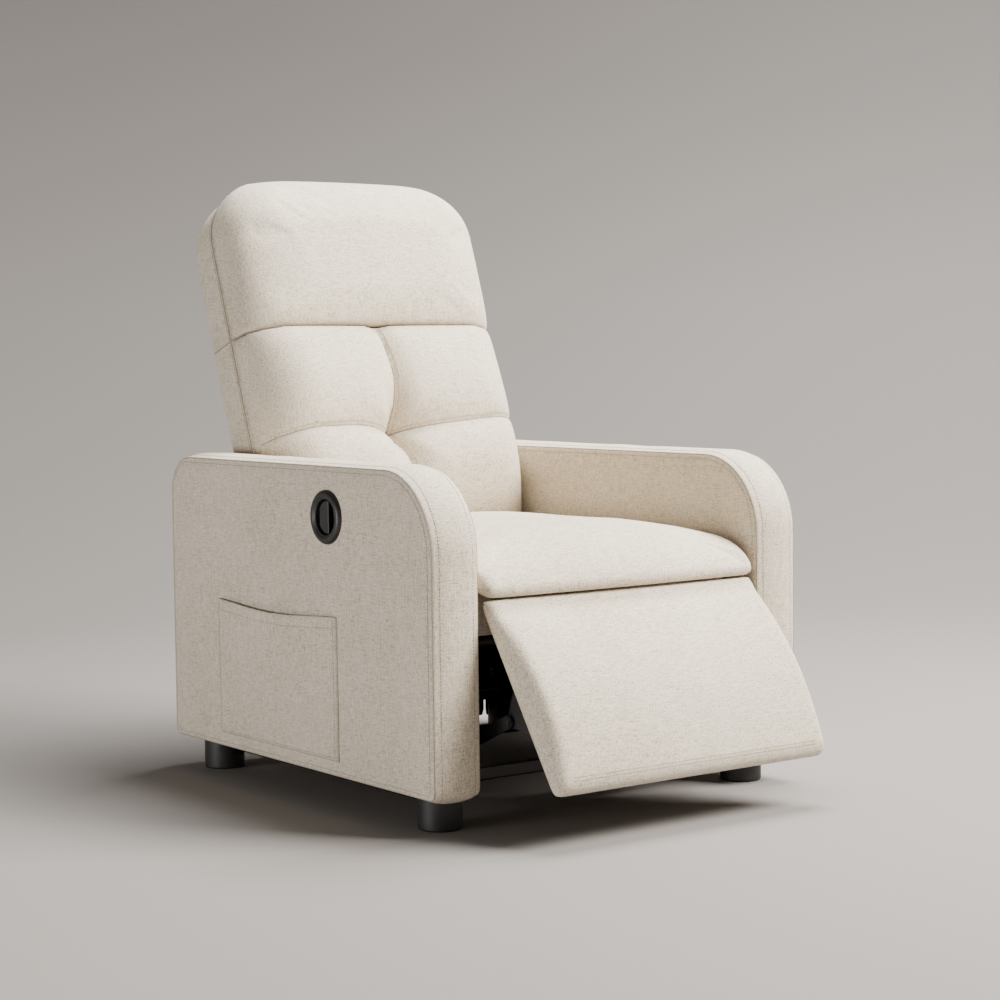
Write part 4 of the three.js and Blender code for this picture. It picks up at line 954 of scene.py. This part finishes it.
# depth and height round the seat's side view: rear, top, nose, underside
seatProfileKeys = [
    (586, 360), (586, 412), (500, 413), (300, 415), (150, 416), (90, 414), (45, 405), (14, 390),
    (-5, 371), (-12, 354), (-9, 346), (12, 346), (40, 352), (90, 359), (300, 359)]


def smoothedLoop(keys, spacing, window):
    # a closed line through the points, its corners worn round by averaging over the window
    line = evenly(np.array(keys, float), spacing, closed=True)
    kernel = max(1, int(window / spacing / 2))
    return np.mean([np.roll(line, k, axis=0) for k in range(-kernel, kernel + 1)], axis=0)


def seatSolid():
    # one side profile carried across the seat; towards its ends it shrinks by a quarter circle
    profile = smoothedLoop(seatProfileKeys[::-1], 6.0, 24.0)
    area = np.sum(profile[:, 0] * np.roll(profile[:, 1], -1) - np.roll(profile[:, 0], -1) * profile[:, 1])
    if area < 0:
        profile = profile[::-1]
    normal = inwards(profile)
    isTop = np.clip((profile[:, 1] - seat["topFrom"]) / seat["topBlend"], 0, 1)
    toNose = np.clip((seat["noseReach"] - profile[:, 0]) / seat["noseReach"], 0, 1)
    hollow = np.exp(-((profile[:, 0] - seat["hollowDepth"]) / seat["hollowWidth"]) ** 2) * seat["hollow"]
    rows = []
    for x in seat["half"] * np.sin(np.linspace(-math.pi / 2, math.pi / 2, 60)):
        fromEnd = seat["half"] - abs(x)
        inset = seat["sideRound"] * (1 - quarterRound(np.array(fromEnd), seat["sideRound"]))
        shape = profile + inset * normal
        fullness = 1 - (x / seat["crownHalf"]) ** 2
        crown = seat["crown"] * fullness * isTop
        forwards = seat["noseBulge"] * fullness * toNose
        raised = shape[:, 1] + crown - hollow * isTop
        rows.append(np.column_stack([np.full(len(shape), x), shape[:, 0] - forwards, raised]))
    return loft("seatCushion", np.array(rows), cloth)


def heldInSeat(points):
    # the underside, the two side seams and the rear edge stay where they are sewn
    x, depth, z = local(points, "chair").T
    return (z < 364) | (np.abs(x) > seat["half"] - 5) | (depth > 578)


seatCushion = seatSolid()
puffUp(seatCushion, heldInSeat, cap=8.0, pressure=2.5)
finishPiece(seatCushion, "seat", "upholstery", "seat_cushion")
seatTree = surfaceOf(seatCushion)
seamRows = []
for sign in (1, -1):
    top = np.column_stack([np.full(80, sign * 246.0), np.linspace(560, 60, 80), np.full(80, 400.0)])
    seamRows.append(laidOn(seatTree, placed(top, "chair"), (0, 0, -1), 0.2))
seatStitches = stitches("seatStitches", seamRows, threadAndSeamShade)
finishPiece(seatStitches, "seat", "upholstery")

border = {
    "half": 265.0, "front": 60.0, "rear": 565.0, "bottom": 284.0, "top": 345.0, "corner": 14.0,
    "thickness": 1.8, "middle": 330.0,
}
farEnd = border["rear"] + 300
corners = [(-border["half"], border["front"]), (border["half"], border["front"]),
           (border["half"], farEnd), (-border["half"], farEnd)]
loop = roundedOutline(corners, [border["corner"], border["corner"], 5, 5], 6.0)
start = int(np.argmin(np.hypot(loop[:, 0] + border["half"], loop[:, 1] - border["rear"])))
loop = np.roll(loop, -start, axis=0)
loop = loop[loop[:, 1] < border["rear"]]
inside = np.linspace(0, 1, 26)
levels = border["bottom"] + (border["top"] - border["bottom"]) * inside
towardsMiddle = np.array([[0.0, border["middle"]]]) - loop
towardsMiddle /= np.linalg.norm(towardsMiddle, axis=1, keepdims=True)
rows = []
for level, share in zip(levels, inside):
    wave = ripples(np.arange(len(loop)) * 6.0, np.full(len(loop), level), 51, 150, 0.4)
    wave = 1.2 + wave * math.sin(math.pi * share)
    shifted = loop + towardsMiddle * wave[:, None]
    rows.append(np.column_stack([shifted, np.full(len(loop), level)]))
rows = np.array(rows)
borderFaces = gridFaces(*rows.shape[:2], closed=False)
seatBorder = makePiece("seatBorder", placed(rows, "chair"), borderFaces, cloth, outwards=False)
wall = seatBorder.modifiers.new("thickness", "SOLIDIFY")
wall.thickness = border["thickness"] / 1000
wall.offset = 0
applied(seatBorder)
finishPiece(seatBorder, "seat", "upholstery", "seat_border")
print("seat made")


footrest = {
    "half": 264.0, "top": 16.0, "bottom": -301.0, "rear": -11.0, "rim": 9.0, "edge": 21.0, "crown": 30.0,
    "sideRoll": 20.0, "lowRoll": 16.0, "highRoll": 20.0, "cornerRadius": 13.0, "rearRoll": 18.0,
}


def footWidth(v):
    under = np.clip(footrest["bottom"] + footrest["cornerRadius"] - v, 0, footrest["cornerRadius"])
    return footrest["half"] - footrest["cornerRadius"] + np.sqrt(footrest["cornerRadius"] ** 2 - under ** 2)


def footTop(x):
    return footrest["top"] + 0 * x


def footFace(x, v):
    # a board's pad, fullest in the middle, rolled over at its rim
    rise = np.clip((v - footrest["bottom"]) / (-14 - footrest["bottom"]), 0, 1)
    crown = footrest["crown"] * np.sin(math.pi * rise) ** 0.8 * (1 - 0.1 * (x / 262) ** 4)
    crown = footrest["edge"] + crown
    side = quarterRound(footWidth(v) - np.abs(x), footrest["sideRoll"])
    low = quarterRound(v - footrest["bottom"], footrest["lowRoll"])
    high = quarterRound(footrest["top"] - v, footrest["highRoll"])
    return footrest["rim"] + (crown - footrest["rim"]) * side * low * high


def heldInFootrest(points):
    # the board side and the rim stay where they are stapled
    x, y, v = local(points, "footrest").T
    return (y > -12) | (v > -16) | (v < -280) | (np.abs(x) > 246)


footPad = pillow("footrestPad", footWidth, footrest["bottom"], footTop, footFace,
                 footrest["rear"], cloth, "footrest", footrest["rearRoll"])
puffUp(footPad, heldInFootrest, cap=3.0, pressure=1.6)
finishPiece(footPad, "footrest", "upholstery", "footrest_pad")
footTree = surfaceOf(footPad)
toBoard = axisOf("footrest", (0, 1, 0))
rows = []
for height in (-288.0, -283.5):
    line = np.column_stack([np.linspace(-236, 236, 90), np.full(90, -30.0), np.full(90, height)])
    rows.append(laidOn(footTree, placed(line, "footrest"), toBoard, 0.2))
footStitches = stitches("footrestStitches", rows, threadAndSeamShade)
finishPiece(footStitches, "footrest", "upholstery")
print("footrest made")


def turnedPiece(name, profile, material, centre, axis, segments=96):
    # a profile of (radius, along) turned about an axis through the centre
    profile = np.array(profile, float)
    ring = np.linspace(0, 2 * math.pi, segments, endpoint=False)
    radius, along = profile[:, None, 0], profile[:, None, 1] + 0 * ring
    c, s = radius * np.cos(ring), radius * np.sin(ring)
    if axis == "x":
        points = np.stack([centre[0] + along, centre[1] + c, centre[2] + s], -1)
    else:
        points = np.stack([centre[0] + c, centre[1] + s, centre[2] + along], -1)
    faces = gridFaces(len(profile), segments).tolist()
    faces.append(list(range(segments)))
    faces.append(list(range((len(profile) - 1) * segments, len(profile) * segments)))
    return makePiece(name, placed(points, "chair"), faces, material)


def arc(centre, radius, start, stop, count=8):
    # points of a circle's arc, angles in degrees
    turn = np.radians(np.linspace(start, stop, count))
    return np.stack([centre[0] + radius * np.cos(turn), centre[1] + radius * np.sin(turn)], -1)


centre = (-arm["outer"], handle["depth"], handle["height"])
ringOut, cup = handle["ringRadius"], handle["cupRadius"]
bezelProfile = np.vstack([
    [[1.0, 30.0], [cup + 1.6, 30.0], [cup + 2.0, 29.6], [cup + 2.0, 0.2], [ringOut - 0.4, 0.2]],
    [[ringOut, -0.6]], arc((ringOut - 7.0, -2.6), 7.0, 0, -90, 10),
    [[handle["dish"], -9.4], [handle["dish"] - 1.8, -8.8]],
    arc((cup + 2.4, -5.0), 2.4, -75, -180, 6), [[cup, -3.0], [cup, handle["cupDepth"] - 3]],
    arc((cup - 3, handle["cupDepth"] - 3), 3, 0, 90, 6),
    [[1.0, handle["cupDepth"]]]])
bezel = turnedPiece("handleBezel", bezelProfile, handlePlastic, centre, "x")
finishPiece(bezel, "base", "black_plastic", "handle_bezel")


def paddlePlate():
    # a round plate cut straight at its front, its rim rounded over, with a fine groove down the middle
    radius = handle["paddleRadius"]
    start = math.degrees(math.acos(-handle["paddleLip"] / radius))
    heel = math.degrees(math.acos((handle["paddleHinge"] - 0.5) / radius))
    loop = np.vstack([arc((0, 0), radius, heel, start, 40), arc((0, 0), radius, -start, -heel, 40)])
    relieved = np.hypot(loop[:, 0] + 3, loop[:, 1])
    loop = loop * np.minimum(1, radius / relieved)[:, None]
    loop = evenly(loop, 1.0, closed=True)
    normal = inwards(loop)
    rows = [loop + 0.8 * normal]
    levels = [handle["paddleThickness"]]
    rows.append(loop)
    levels.append(handle["paddleThickness"] - 0.8)
    rim = handle["paddleRim"]
    for turn in np.linspace(0, math.pi / 2, 6):
        rows.append(loop + rim * (1 - math.cos(turn)) * normal)
        levels.append(rim * (1 - math.sin(turn)))
    for share in (0.1, 0.25, 0.5, 0.75, 0.93):
        rows.append((loop + rim * normal) * (1 - share) + share * np.array([7.0, 0]))
        levels.append(0.7 * math.sin(share * 1.5))
    face = -(arm["outer"] + handle["paddleProud"])
    middle = np.array([handle["depth"], handle["height"]])
    points = [np.column_stack([np.full(len(r), face + level), middle + r]) for r, level in zip(rows, levels)]
    return loft("handlePaddle", points, handlePlastic)


paddle = paddlePlate()
finishPiece(paddle, "release_paddle", "black_plastic", "handle_paddle")


foot = {
    "radius": 34.0, "height": 54.2, "soleRound": 3.6, "shoulderRound": 1.4, "shoulder": 51.0, "neck": 31.0,
    "x": 302.0, "depths": {"Front": 70.0, "Rear": 722.0},
}
# a round foot: worn sole edge, straight side, small shoulder, narrower neck under the arm
footProfile = np.vstack([
    [[1.0, 0.0]],
    arc((foot["radius"] - foot["soleRound"], foot["soleRound"]), foot["soleRound"], -90, 0, 8),
    [[foot["radius"], 20.0], [foot["radius"], 49.0]],
    arc((foot["radius"] - foot["shoulderRound"], 49.4), foot["shoulderRound"], 0, 80, 5),
    [[foot["neck"], foot["shoulder"]], [foot["neck"], foot["height"]], [1.0, foot["height"]]]])
for side, sign in sides.items():
    for end, depth in foot["depths"].items():
        centre = (sign * foot["x"], depth, 0.0)
        piece = turnedPiece(f"foot{end}{side.capitalize()}", footProfile, footPlastic, centre, "z")
        finishPiece(piece, "base", "black_plastic", f"foot_{end.lower()}_{side}")
print("handle and feet made")


finishes = {
    "frame_wood": poplar, "black_plastic": handlePlastic, "black_steel": coatedSteel,
    "bare_steel": bareSteel, "upholstery": cloth,
}
for part in frame["record"]["subparts"]:
    node = cad[part["node"]]
    node.data.materials.clear()
    node.data.materials.append(finishes[part["material_slot"]])
print("CAD finishes assigned")
